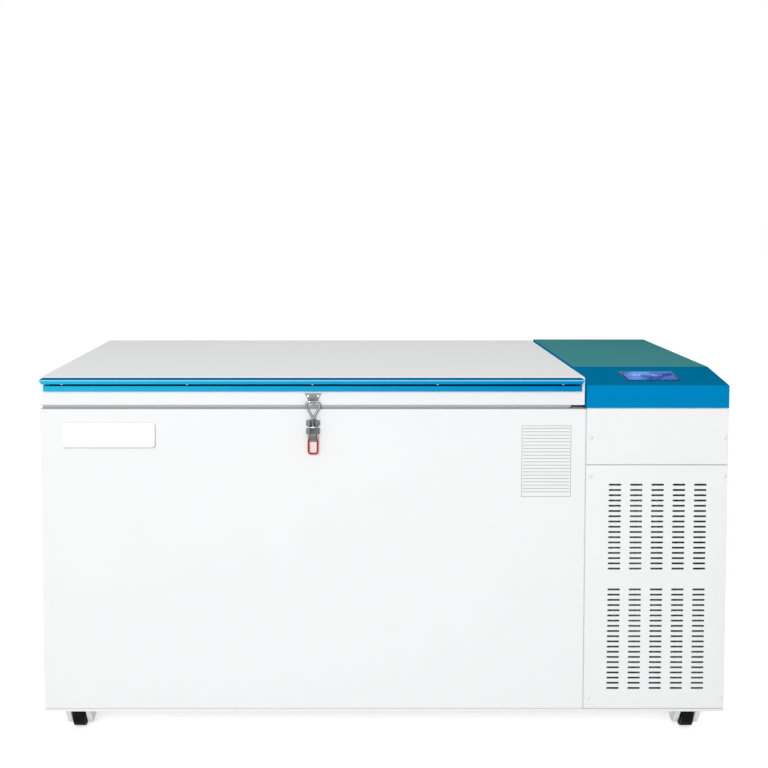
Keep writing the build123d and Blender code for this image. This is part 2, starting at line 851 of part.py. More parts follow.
rocker_half = switch_height / 2 - switch_wall - 1.5 * rocker_gap
rocker_y = back_y + switch_plate

with BuildPart() as power_rocker:
    with BuildSketch(Plane.YZ.offset(switch_x)):
        with BuildLine():
            Polyline(
                (rocker_y - rocker_depth, socket_z - rocker_half),
                (rocker_y + rocker_rise, socket_z - rocker_half),
                (rocker_y, socket_z),
                (rocker_y + rocker_rise, socket_z + rocker_half),
                (rocker_y - rocker_depth, socket_z + rocker_half),
                close=True,
            )
        make_face()
    extrude(amount=switch_width / 2 - switch_wall - rocker_gap, both=True)
power_rocker.part.label = "power_rocker"
export_step(power_rocker.part, "parts/power_rocker.step")

# Control hood: moulded cover whose front slopes back under the touch screen
hood_proud = 2
hood_wall = 2
screen_width = 157
screen_height = 93
screen_depth = 93
screen_proud = 0.8
display_margin = 9
display_depth = 22
display_wall = 2
board_sheet = 1.6

hood_front = front_y - hood_proud
hood_slope = atan2(hood_height - hood_front_height, hood_slope_depth)
slope_base = hood_bottom + hood_front_height
hood_x = (chest_right_x + right_x) / 2
slope_plane = Plane(
    origin=(hood_x, hood_front + screen_depth, slope_base + screen_depth * tan(hood_slope)),
    x_dir=(1, 0, 0),
    z_dir=(0, -sin(hood_slope), cos(hood_slope)),
)

with BuildPart() as control_hood:
    with BuildSketch(Plane.YZ.offset(chest_right_x)):
        with BuildLine():
            Polyline(
                (hood_front, hood_bottom),
                (hood_front, slope_base),
                (hood_front + hood_slope_depth, hood_top),
                (back_y, hood_top),
                (back_y, hood_bottom),
                close=True,
            )
        make_face()
    extrude(amount=housing_width)
    hood_edges = control_hood.edges().filter_by_position(Axis.Z, hood_bottom + rest_gap, hood_top + rest_gap)
    fillet(hood_edges.filter_by(Axis.X).sort_by(Axis.Y)[0], bend_radius)
    offset(amount=-hood_wall, openings=control_hood.faces().sort_by(Axis.Z)[0])
    with BuildSketch(slope_plane):
        Rectangle(screen_width, screen_height)
    extrude(amount=-2 * hood_wall, mode=Mode.SUBTRACT)
control_hood.part.label = "control_hood"
export_step(control_hood.part, "parts/control_hood.step")

with BuildPart() as display_screen:
    with BuildSketch(slope_plane.offset(-hood_wall)):
        Rectangle(screen_width - 2 * rest_gap, screen_height - 2 * rest_gap)
    extrude(amount=hood_wall + screen_proud)
display_screen.part.label = "display_screen"
export_step(display_screen.part, "parts/display_screen.step")

with BuildPart() as display_housing:
    with BuildSketch(slope_plane.offset(-hood_wall)):
        Rectangle(screen_width + 2 * display_margin, screen_height + 2 * display_margin)
    extrude(amount=-display_depth)
    offset(amount=-display_wall, openings=display_housing.faces().sort_by(Axis.Z)[0])
display_housing.part.label = "display_housing"
export_step(display_housing.part, "parts/display_housing.step")

with BuildPart() as control_board:
    with BuildSketch(slope_plane.offset(-hood_wall - display_depth)):
        Rectangle(screen_width + 2 * display_margin, screen_height + 2 * display_margin)
    extrude(amount=-board_sheet)
control_board.part.label = "control_board"
export_step(control_board.part, "parts/control_board.step")


# Condenser behind the grille: fin pack standing on the deck
condenser_gap = 5
condenser_width = 340
condenser_height = 680
condenser_depth = 44
fin_groove = 10
fin_pitch = 24
fin_groove_depth = 15

condenser_front = panel_back + post + condenser_gap
condenser_back = condenser_front + condenser_depth
condenser_top = deck_top + condenser_height
fin_count = int(condenser_width / fin_pitch) - 1

with BuildPart() as condenser:
    with BuildSketch(Plane.XY.offset(deck_top)):
        with Locations((house_x, (condenser_front + condenser_back) / 2)):
            Rectangle(condenser_width, condenser_depth)
        with Locations((house_x, condenser_front + fin_groove_depth / 2)):
            with GridLocations(fin_pitch, 1, fin_count, 1):
                Rectangle(fin_groove, fin_groove_depth, mode=Mode.SUBTRACT)
    extrude(amount=condenser_height)
condenser.part.label = "condenser"
export_step(condenser.part, "parts/condenser.step")

# Fan shroud: hood over the condenser's back with two round mouths
shroud_depth = 34
shroud_wall = 1.5
fan_pitch = 330
fan_mouth_radius = 132
mouth_sides = 24
fan_clearance = 6
fan_hub_radius = 34
fan_hub_length = 26
blade_count = 5
blade_chord = 44
blade_thickness = 2
blade_pitch_angle = 32

shroud_back = condenser_back + shroud_depth
fan_mid_z = deck_top + condenser_height / 2
fan_levels = {"lower": fan_mid_z - fan_pitch / 2, "upper": fan_mid_z + fan_pitch / 2}
fan_radius = fan_mouth_radius - fan_clearance
hub_back_y = shroud_back - rest_gap
blade_length = fan_radius - fan_hub_radius / 2

with BuildPart() as fan_shroud:
    with BuildSketch(Plane.XZ.offset(-condenser_back)):
        span(
            house_x - condenser_width / 2,
            house_x + condenser_width / 2,
            deck_top,
            condenser_top,
        )
    extrude(amount=-shroud_depth)
    offset(amount=-shroud_wall, openings=fan_shroud.faces().sort_by(Axis.Y)[0])
    with BuildSketch(Plane.XZ.offset(-shroud_back)):
        for level in fan_levels.values():
            with Locations((house_x, level)):
                RegularPolygon(fan_mouth_radius, mouth_sides)
    extrude(amount=2 * shroud_wall, mode=Mode.SUBTRACT)
fan_shroud.part.label = "fan_shroud"
export_step(fan_shroud.part, "parts/fan_shroud.step")

# Fan motors: each hangs on a bar across its mouth, and the fan's hub turns on its face
bar_height = 36
bar_sheet = 4
bar_lap = 14
motor_width = 72
motor_length = 55

with BuildPart() as fan_motors:
    for level in fan_levels.values():
        with BuildSketch(Plane.XZ.offset(-shroud_back)):
            with Locations((house_x, level)):
                Rectangle(2 * (fan_mouth_radius + bar_lap), bar_height)
        extrude(amount=-bar_sheet)
        with BuildSketch(Plane.XZ.offset(-shroud_back - bar_sheet)):
            with Locations((house_x, level)):
                Rectangle(motor_width, motor_width)
        extrude(amount=-motor_length)
fan_motors.part.label = "fan_motors"
export_step(fan_motors.part, "parts/fan_motors.step")

for name, level in fan_levels.items():
    rotor_plane = Plane((house_x, hub_back_y, level), x_dir=(1, 0, 0), z_dir=(0, -1, 0))
    with BuildPart(rotor_plane) as fan_rotor:
        with BuildSketch(rotor_plane):
            RegularPolygon(fan_hub_radius, 2 * blade_count)
        extrude(amount=fan_hub_length)
        with Locations((0, 0, fan_hub_length / 2)):
            with PolarLocations(fan_radius - blade_length / 2, blade_count):
                Box(blade_length, blade_chord, blade_thickness, rotation=(blade_pitch_angle, 0, 0))
    fan_rotor.part.label = f"fan_rotor_{name}"
    export_step(fan_rotor.part, f"parts/fan_rotor_{name}.step")


# Compressors of the two stages: drawn steel cans on foot plates
compressor_radius = 85
can_sides = 24
compressor_spacing = 200
compressor_from_back = 125
compressor_heights = {"high": 235, "low": 265}
foot_plate_width = 180
foot_plate_sheet = 4

compressor_y = rear_inner - compressor_from_back
compressor_xs = {"low": house_x - compressor_spacing / 2, "high": house_x + compressor_spacing / 2}
can_bottom = deck_top + foot_plate_sheet

for stage, height in compressor_heights.items():
    stage_x = compressor_xs[stage]
    with BuildPart() as compressor:
        with BuildSketch(Plane.XY.offset(can_bottom)):
            with Locations((stage_x, compressor_y)):
                RegularPolygon(compressor_radius, can_sides)
        extrude(amount=height)
        with BuildSketch(Plane.XY.offset(deck_top)):
            with Locations((stage_x, compressor_y)):
                Rectangle(foot_plate_width, foot_plate_width)
        extrude(amount=foot_plate_sheet)
    compressor.part.label = f"compressor_{stage}"
    export_step(compressor.part, f"parts/compressor_{stage}.step")

# Cascade heat exchanger: insulated block in front of the low stage
exchanger_width = 100
exchanger_depth = 120
exchanger_height = 420
exchanger_gap = 330

exchanger_y = compressor_y - exchanger_gap

with BuildPart() as heat_exchanger:
    with BuildSketch(Plane.XY.offset(deck_top)):
        with Locations((compressor_xs["low"], exchanger_y)):
            Rectangle(exchanger_width, exchanger_depth)
    extrude(amount=exchanger_height)
heat_exchanger.part.label = "heat_exchanger"
export_step(heat_exchanger.part, "parts/heat_exchanger.step")

# Refrigerant lines: from each compressor's crown, with a brazed elbow, to the condenser and exchanger
line_radius = 6
line_sides = 8
line_ends = {"high": shroud_back, "low": exchanger_y + exchanger_depth / 2}

with BuildPart() as refrigerant_lines:
    for stage, height in compressor_heights.items():
        crown_z = can_bottom + height
        with BuildLine(Plane.YZ.offset(compressor_xs[stage])):
            Polyline(
                (compressor_y, crown_z),
                (compressor_y, fan_mid_z),
                (line_ends[stage], fan_mid_z),
            )
        with BuildSketch(Plane.XY.offset(crown_z)):
            with Locations((compressor_xs[stage], compressor_y)):
                RegularPolygon(line_radius, line_sides)
        sweep(transition=Transition.RIGHT)
refrigerant_lines.part.label = "refrigerant_lines"
export_step(refrigerant_lines.part, "parts/refrigerant_lines.step")

# Electrical box on the inside of the side panel
box_reach = 110
box_length = 260
box_height = 300
box_drop = 60
box_front_gap = 200
box_sheet = 2

with BuildPart() as electrical_box:
    with BuildSketch(Plane.YZ.offset(side_inner)):
        box_front = shroud_back + box_front_gap
        box_top = hood_bottom - box_drop
        span(box_front, box_front + box_length, box_top - box_height, box_top)
    extrude(amount=-box_reach)
    offset(amount=-box_sheet, openings=electrical_box.faces().sort_by(Axis.X)[-1])
electrical_box.part.label = "electrical_box"
export_step(electrical_box.part, "parts/electrical_box.step")


# Swivel casters under the four corners
caster_side_inset = 80
caster_end_inset = 85
caster_plate_width = 95
caster_plate_sheet = 4
kingpin_radius = 6
caster_trail = 28
wheel_radius = 37.5
wheel_width = 34
fork_width = 75
fork_leg = 15.5
fork_foot_radius = 25
fork_crown_front = 26
fork_crown_back = 36
fork_crown_gap = 3
axle_radius = 4
axle_head_radius = 8
axle_head = 6.5

plate_bottom = caster_height - caster_plate_sheet
crown_top = plate_bottom - rest_gap
crown_bottom = 2 * wheel_radius + fork_crown_gap
fork_inner = fork_width / 2 - fork_leg
caster_places = {
    "front_left": (left_x + caster_side_inset, front_y + caster_end_inset),
    "front_right": (right_x - caster_side_inset, front_y + caster_end_inset),
    "rear_left": (left_x + caster_side_inset, back_y - caster_end_inset),
    "rear_right": (right_x - caster_side_inset, back_y - caster_end_inset),
}

with BuildPart() as caster_plates:
    with BuildSketch(Plane.XY.offset(plate_bottom)):
        with Locations(*caster_places.values()):
            Rectangle(caster_plate_width, caster_plate_width)
            Circle(kingpin_radius + run_clearance, mode=Mode.SUBTRACT)
    extrude(amount=caster_plate_sheet)
caster_plates.part.label = "caster_plates"
export_step(caster_plates.part, "parts/caster_plates.step")

for name, (swivel_x, swivel_y) in caster_places.items():
    axle_y = swivel_y + caster_trail
    # Fork with its kingpin and riveted axle
    with BuildPart() as caster_fork:
        with BuildSketch(Plane.YZ.offset(swivel_x)):
            with BuildLine():
                Polyline(
                    (swivel_y - fork_crown_front, crown_top),
                    (swivel_y + fork_crown_back, crown_top),
                    (axle_y + fork_foot_radius, wheel_radius),
                    (axle_y + fork_foot_radius / 2, wheel_radius - fork_foot_radius),
                    (axle_y - fork_foot_radius / 2, wheel_radius - fork_foot_radius),
                    (swivel_y - fork_crown_front, crown_bottom),
                    close=True,
                )
            make_face()
        extrude(amount=fork_width / 2, both=True)
        with BuildSketch(Plane.XZ.offset(-swivel_y)):
            span(swivel_x - fork_inner, swivel_x + fork_inner, 0, crown_bottom)
        extrude(amount=2 * wheel_radius + caster_trail, both=True, mode=Mode.SUBTRACT)
        with BuildSketch(Plane.XY.offset(crown_top)):
            with Locations((swivel_x, swivel_y)):
                Circle(kingpin_radius)
        extrude(amount=caster_plate_sheet)
        with BuildSketch(Plane.YZ.offset(swivel_x)):
            with Locations((axle_y, wheel_radius)):
                Circle(axle_radius)
        extrude(amount=fork_width / 2, both=True)
        for side in (-1, 1):
            with BuildSketch(Plane.YZ.offset(swivel_x + side * fork_width / 2)):
                with Locations((axle_y, wheel_radius)):
                    RegularPolygon(axle_head_radius, 6)
            extrude(amount=side * axle_head)
    caster_fork.part.label = f"caster_fork_{name}"
    export_step(caster_fork.part, f"parts/caster_fork_{name}.step")

    with BuildPart() as caster_wheel:
        with BuildSketch(Plane.YZ.offset(swivel_x)):
            with Locations((axle_y, wheel_radius)):
                Circle(wheel_radius)
                Circle(axle_radius + run_clearance, mode=Mode.SUBTRACT)
        extrude(amount=wheel_width / 2, both=True)
    caster_wheel.part.label = f"caster_wheel_{name}"
    export_step(caster_wheel.part, f"parts/caster_wheel_{name}.step")
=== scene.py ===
import bpy
import json
import math
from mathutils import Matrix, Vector


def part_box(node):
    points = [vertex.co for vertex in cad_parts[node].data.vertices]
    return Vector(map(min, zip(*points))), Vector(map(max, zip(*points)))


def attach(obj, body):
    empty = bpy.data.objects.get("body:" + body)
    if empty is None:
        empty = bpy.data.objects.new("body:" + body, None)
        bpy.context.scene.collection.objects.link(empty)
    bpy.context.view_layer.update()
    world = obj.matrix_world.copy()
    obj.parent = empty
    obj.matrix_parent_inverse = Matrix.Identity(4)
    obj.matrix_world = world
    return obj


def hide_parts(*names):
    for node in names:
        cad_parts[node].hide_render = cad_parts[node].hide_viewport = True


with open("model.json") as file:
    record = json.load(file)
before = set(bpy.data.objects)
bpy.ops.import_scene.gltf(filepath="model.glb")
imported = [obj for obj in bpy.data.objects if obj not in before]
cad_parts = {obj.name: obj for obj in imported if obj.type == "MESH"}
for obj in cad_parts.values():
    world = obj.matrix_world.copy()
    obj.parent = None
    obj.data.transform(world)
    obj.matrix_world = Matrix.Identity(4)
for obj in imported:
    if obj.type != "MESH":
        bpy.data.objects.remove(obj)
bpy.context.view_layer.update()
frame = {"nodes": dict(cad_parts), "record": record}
nodes = frame["nodes"]
record = frame["record"]
bodyOf = {node: body for body, group in record["behaviour"]["bodies"].items() for node in group}
slotOf = {part["node"]: part["material_slot"] for part in record["subparts"]}
near = 0.0001  # metres, the slack when something is picked by its place
square = 0.9  # least share of a normal along an axis for a face that looks that way


# selection and edit helpers

def wake(obj):
    if bpy.context.object and bpy.context.object.mode != "OBJECT":
        bpy.ops.object.mode_set(mode="OBJECT")
    bpy.ops.object.select_all(action="DESELECT")
    obj.select_set(True)
    bpy.context.view_layer.objects.active = obj


def clearPick():
    bpy.ops.object.select_all(action="DESELECT")


def leaveEdit():
    bpy.ops.object.mode_set(mode="OBJECT")


def editAll(obj):  # edit mode with everything selected
    wake(obj)
    bpy.ops.object.mode_set(mode="EDIT")
    bpy.ops.mesh.select_all(action="SELECT")


def editPick(obj, kind, test):  # edit mode with only the faces, edges or points that pass the test
    wake(obj)
    bpy.ops.object.mode_set(mode="EDIT")
    bpy.ops.mesh.select_mode(type=kind)
    bpy.ops.mesh.select_all(action="DESELECT")
    leaveEdit()
    mesh = obj.data
    if kind == "FACE":
        for face in mesh.polygons:
            face.select = test(face.center, face.normal)
    elif kind == "EDGE":
        for edge in mesh.edges:
            a, b = (mesh.vertices[i].co for i in edge.vertices)
            edge.select = test(a, b)
    else:
        for point in mesh.vertices:
            point.select = test(point.co)
    bpy.ops.object.mode_set(mode="EDIT")


def movePoints(obj, test, shift):
    editPick(obj, "VERT", test)
    bpy.ops.transform.translate(value=shift)
    leaveEdit()


def bevelEdges(obj, test, offset, segments, slot=-1):
    editPick(obj, "EDGE", test)
    bpy.ops.mesh.bevel(offset=offset, segments=segments, profile=0.5, material=slot)
    leaveEdit()


def deleteFaces(obj, test):
    editPick(obj, "FACE", test)
    bpy.ops.mesh.delete(type="FACE")
    leaveEdit()


def alongY(a, b):  # edges that run from front to back
    return abs(a.y - b.y) > near


def applyMods(obj):
    wake(obj)
    for mod in list(obj.modifiers):
        bpy.ops.object.modifier_apply(modifier=mod.name)


def roundEdges(obj, width, segments=2, angle=35, slot=-1):
    bevel = obj.modifiers.new("edge", "BEVEL")
    bevel.width = width
    bevel.segments = segments
    bevel.limit_method = "ANGLE"
    bevel.angle_limit = math.radians(angle)
    bevel.use_clamp_overlap = True
    bevel.material = slot
    applyMods(obj)


def thicken(obj, sheet):  # an open skin gets its wall, inward
    wall = obj.modifiers.new("wall", "SOLIDIFY")
    wall.thickness = sheet
    wall.offset = -1
    applyMods(obj)


def cutBy(obj, tool):  # the tool is used up
    cut = obj.modifiers.new("cut", "BOOLEAN")
    cut.operation = "DIFFERENCE"
    cut.solver = "EXACT"
    cut.object = tool
    applyMods(obj)
    bpy.data.objects.remove(tool)


def repeat(obj, count, step):
    row = obj.modifiers.new("row", "ARRAY")
    row.count = count
    row.use_relative_offset = False
    row.use_constant_offset = True
    row.constant_offset_displace = step
    applyMods(obj)


def smooth(obj, angle=40):
    wake(obj)
    bpy.ops.object.shade_smooth_by_angle(angle=math.radians(angle))


def settle(obj):
    wake(obj)
    bpy.ops.object.transform_apply(location=True, rotation=True, scale=True)


def moveWhole(obj, shift):
    wake(obj)
    bpy.ops.transform.translate(value=shift)
    settle(obj)


def facesOut(obj, merge=0.00001):
    editAll(obj)
    bpy.ops.mesh.remove_doubles(threshold=merge)
    bpy.ops.mesh.dissolve_degenerate(threshold=merge)
    bpy.ops.mesh.select_all(action="SELECT")
    bpy.ops.mesh.normals_make_consistent(inside=False)
    leaveEdit()


def block(name, low, high):  # cube primitive between two corners
    clearPick()
    low, high = Vector(low), Vector(high)
    bpy.ops.mesh.primitive_cube_add(size=1, location=(low + high) / 2)
    obj = bpy.context.object
    obj.name = name
    obj.scale = high - low
    settle(obj)
    return obj


def disc(name, radius, depth, place, along="Z", sides=32):  # cylinder primitive, its axis along X, Y or Z
    turns = {"X": (0, math.pi / 2, 0), "Y": (math.pi / 2, 0, 0), "Z": (0, 0, 0)}
    clearPick()
    bpy.ops.mesh.primitive_cylinder_add(
        vertices=sides, radius=radius, depth=depth, location=place, rotation=turns[along])
    obj = bpy.context.object
    obj.name = name
    settle(obj)
    return obj


def copyTo(obj, name, shift):
    wake(obj)
    bpy.ops.object.duplicate(linked=False)
    twin = bpy.context.object
    twin.name = name
    moveWhole(twin, shift)
    return twin


def joinAll(pieces, name):
    wake(pieces[0])
    for obj in pieces[1:]:
        obj.select_set(True)
    if len(pieces) > 1:
        bpy.ops.object.join()
    bpy.context.object.name = name
    return bpy.context.object


def paint(obj, *names):  # material slots in order
    for name in names:
        obj.data.materials.append(materials[name])


def wear(obj, finish, body, slot, *replaced):
    if len(obj.data.materials):
        obj.data.materials[0] = materials[finish]
    else:
        paint(obj, finish)
    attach(obj, body)
    if replaced:
        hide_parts(*replaced)
    return obj


# shader groups that several finishes share

def groupShell(name, ins, outs):
    group = bpy.data.node_groups.new(name, "ShaderNodeTree")
    for label, kind, value in ins:
        sock = group.interface.new_socket(label, in_out="INPUT", socket_type="NodeSocket" + kind)
        if value is not None:
            sock.default_value = value
    for label, kind in outs:
        group.interface.new_socket(label, in_out="OUTPUT", socket_type="NodeSocket" + kind)
    return group, group.nodes.new("NodeGroupInput"), group.nodes.new("NodeGroupOutput")


def feed(tree, value, sock):  # a socket is linked, a number or colour is set
    if hasattr(value, "is_output"):
        tree.links.new(value, sock)
    else:
        sock.default_value = value


def math2(tree, operation, a, b):
    node = tree.nodes.new("ShaderNodeMath")
    node.operation = operation
    feed(tree, a, node.inputs[0])
    feed(tree, b, node.inputs[1])
    return node.outputs[0]


def noiseAt(tree, vector, scale, detail=2.0):
    node = tree.nodes.new("ShaderNodeTexNoise")
    node.inputs["Detail"].default_value = detail
    tree.links.new(vector, node.inputs["Vector"])
    feed(tree, scale, node.inputs["Scale"])
    return node.outputs["Fac"]


def mixed(tree, color, other, factor, blend="MIX"):
    mix = tree.nodes.new("ShaderNodeMix")
    mix.data_type = "RGBA"
    mix.blend_type = blend
    feed(tree, factor, mix.inputs["Factor"])
    feed(tree, color, mix.inputs[6])
    feed(tree, other, mix.inputs[7])
    return mix.outputs[2]


def ranged(tree, value, low, high):  # 0 at low, 1 at high
    node = tree.nodes.new("ShaderNodeMapRange")
    tree.links.new(value, node.inputs["Value"])
    node.inputs["From Min"].default_value = low
    node.inputs["From Max"].default_value = high
    return node.outputs["Result"]


def axesOf(tree, vector):
    split = tree.nodes.new("ShaderNodeSeparateXYZ")
    tree.links.new(vector, split.inputs[0])
    return split.outputs


def makeCoatGroup():  # sprayed or moulded skin: slow mottle, fine orange peel, uneven gloss
    group, start, end = groupShell("coatSkin", [
        ("Vector", "Vector", None), ("Color", "Color", (1, 1, 1, 1)), ("Mottle", "Float", 0.04),
        ("Peel Scale", "Float", 700.0), ("Gloss", "Float", 0.4), ("Gloss Spread", "Float", 0.08)],
        [("Color", "Color"), ("Roughness", "Float"), ("Height", "Float")])
    slow = noiseAt(group, start.outputs["Vector"], scale=5.0, detail=3.0)
    peel = noiseAt(group, start.outputs["Vector"], start.outputs["Peel Scale"], detail=1.0)
    drift = math2(group, "SUBTRACT", slow, 0.5)
    shade = math2(group, "ADD", math2(group, "MULTIPLY", drift, start.outputs["Mottle"]), 1.0)
    rough = math2(group, "ADD", math2(group, "MULTIPLY", drift, start.outputs["Gloss Spread"]),
                  start.outputs["Gloss"])
    color = mixed(group, start.outputs["Color"], shade, 1.0, "MULTIPLY")
    group.links.new(color, end.inputs["Color"])
    group.links.new(rough, end.inputs["Roughness"])
    group.links.new(peel, end.inputs["Height"])
    return group


def makeBrushGroup():  # drawn or brushed metal: long streaks along one axis
    group, start, end = groupShell("brushLines", [
        ("Vector", "Vector", None), ("Color", "Color", (1, 1, 1, 1)), ("Streak", "Vector", (900, 900, 30)),
        ("Contrast", "Float", 0.2), ("Gloss", "Float", 0.3)],
        [("Color", "Color"), ("Roughness", "Float"), ("Height", "Float")])
    scaled = group.nodes.new("ShaderNodeVectorMath")
    scaled.operation = "MULTIPLY"
    group.links.new(start.outputs["Vector"], scaled.inputs[0])
    group.links.new(start.outputs["Streak"], scaled.inputs[1])
    streak = noiseAt(group, scaled.outputs[0], scale=1.0, detail=3.0)
    drift = math2(group, "MULTIPLY", math2(group, "SUBTRACT", streak, 0.5), start.outputs["Contrast"])
    shade = math2(group, "ADD", drift, 1.0)
    color = mixed(group, start.outputs["Color"], shade, 1.0, "MULTIPLY")
    group.links.new(color, end.inputs["Color"])
    group.links.new(math2(group, "ADD", drift, start.outputs["Gloss"]), end.inputs["Roughness"])
    group.links.new(streak, end.inputs["Height"])
    return group


def makeDustGroup():  # pale dust that settles on faces turned up
    group, start, end = groupShell("settledDust", [
        ("Vector", "Vector", None), ("Color", "Color", (1, 1, 1, 1)), ("Dust", "Color", (0.7, 0.69, 0.67, 1)),
        ("Amount", "Float", 0.1)], [("Color", "Color")])
    facing = group.nodes.new("ShaderNodeNewGeometry")
    up = math2(group, "MAXIMUM", axesOf(group, facing.outputs["Normal"])["Z"], 0.0)
    patches = noiseAt(group, start.outputs["Vector"], scale=14.0, detail=5.0)
    mask = math2(group, "MULTIPLY", math2(group, "MULTIPLY", up, patches), start.outputs["Amount"])
    color = mixed(group, start.outputs["Color"], start.outputs["Dust"], mask)
    group.links.new(color, end.inputs["Color"])
    return group


groups = {"coat": makeCoatGroup(), "brush": makeBrushGroup(), "dust": makeDustGroup()}
print("shader groups ready")


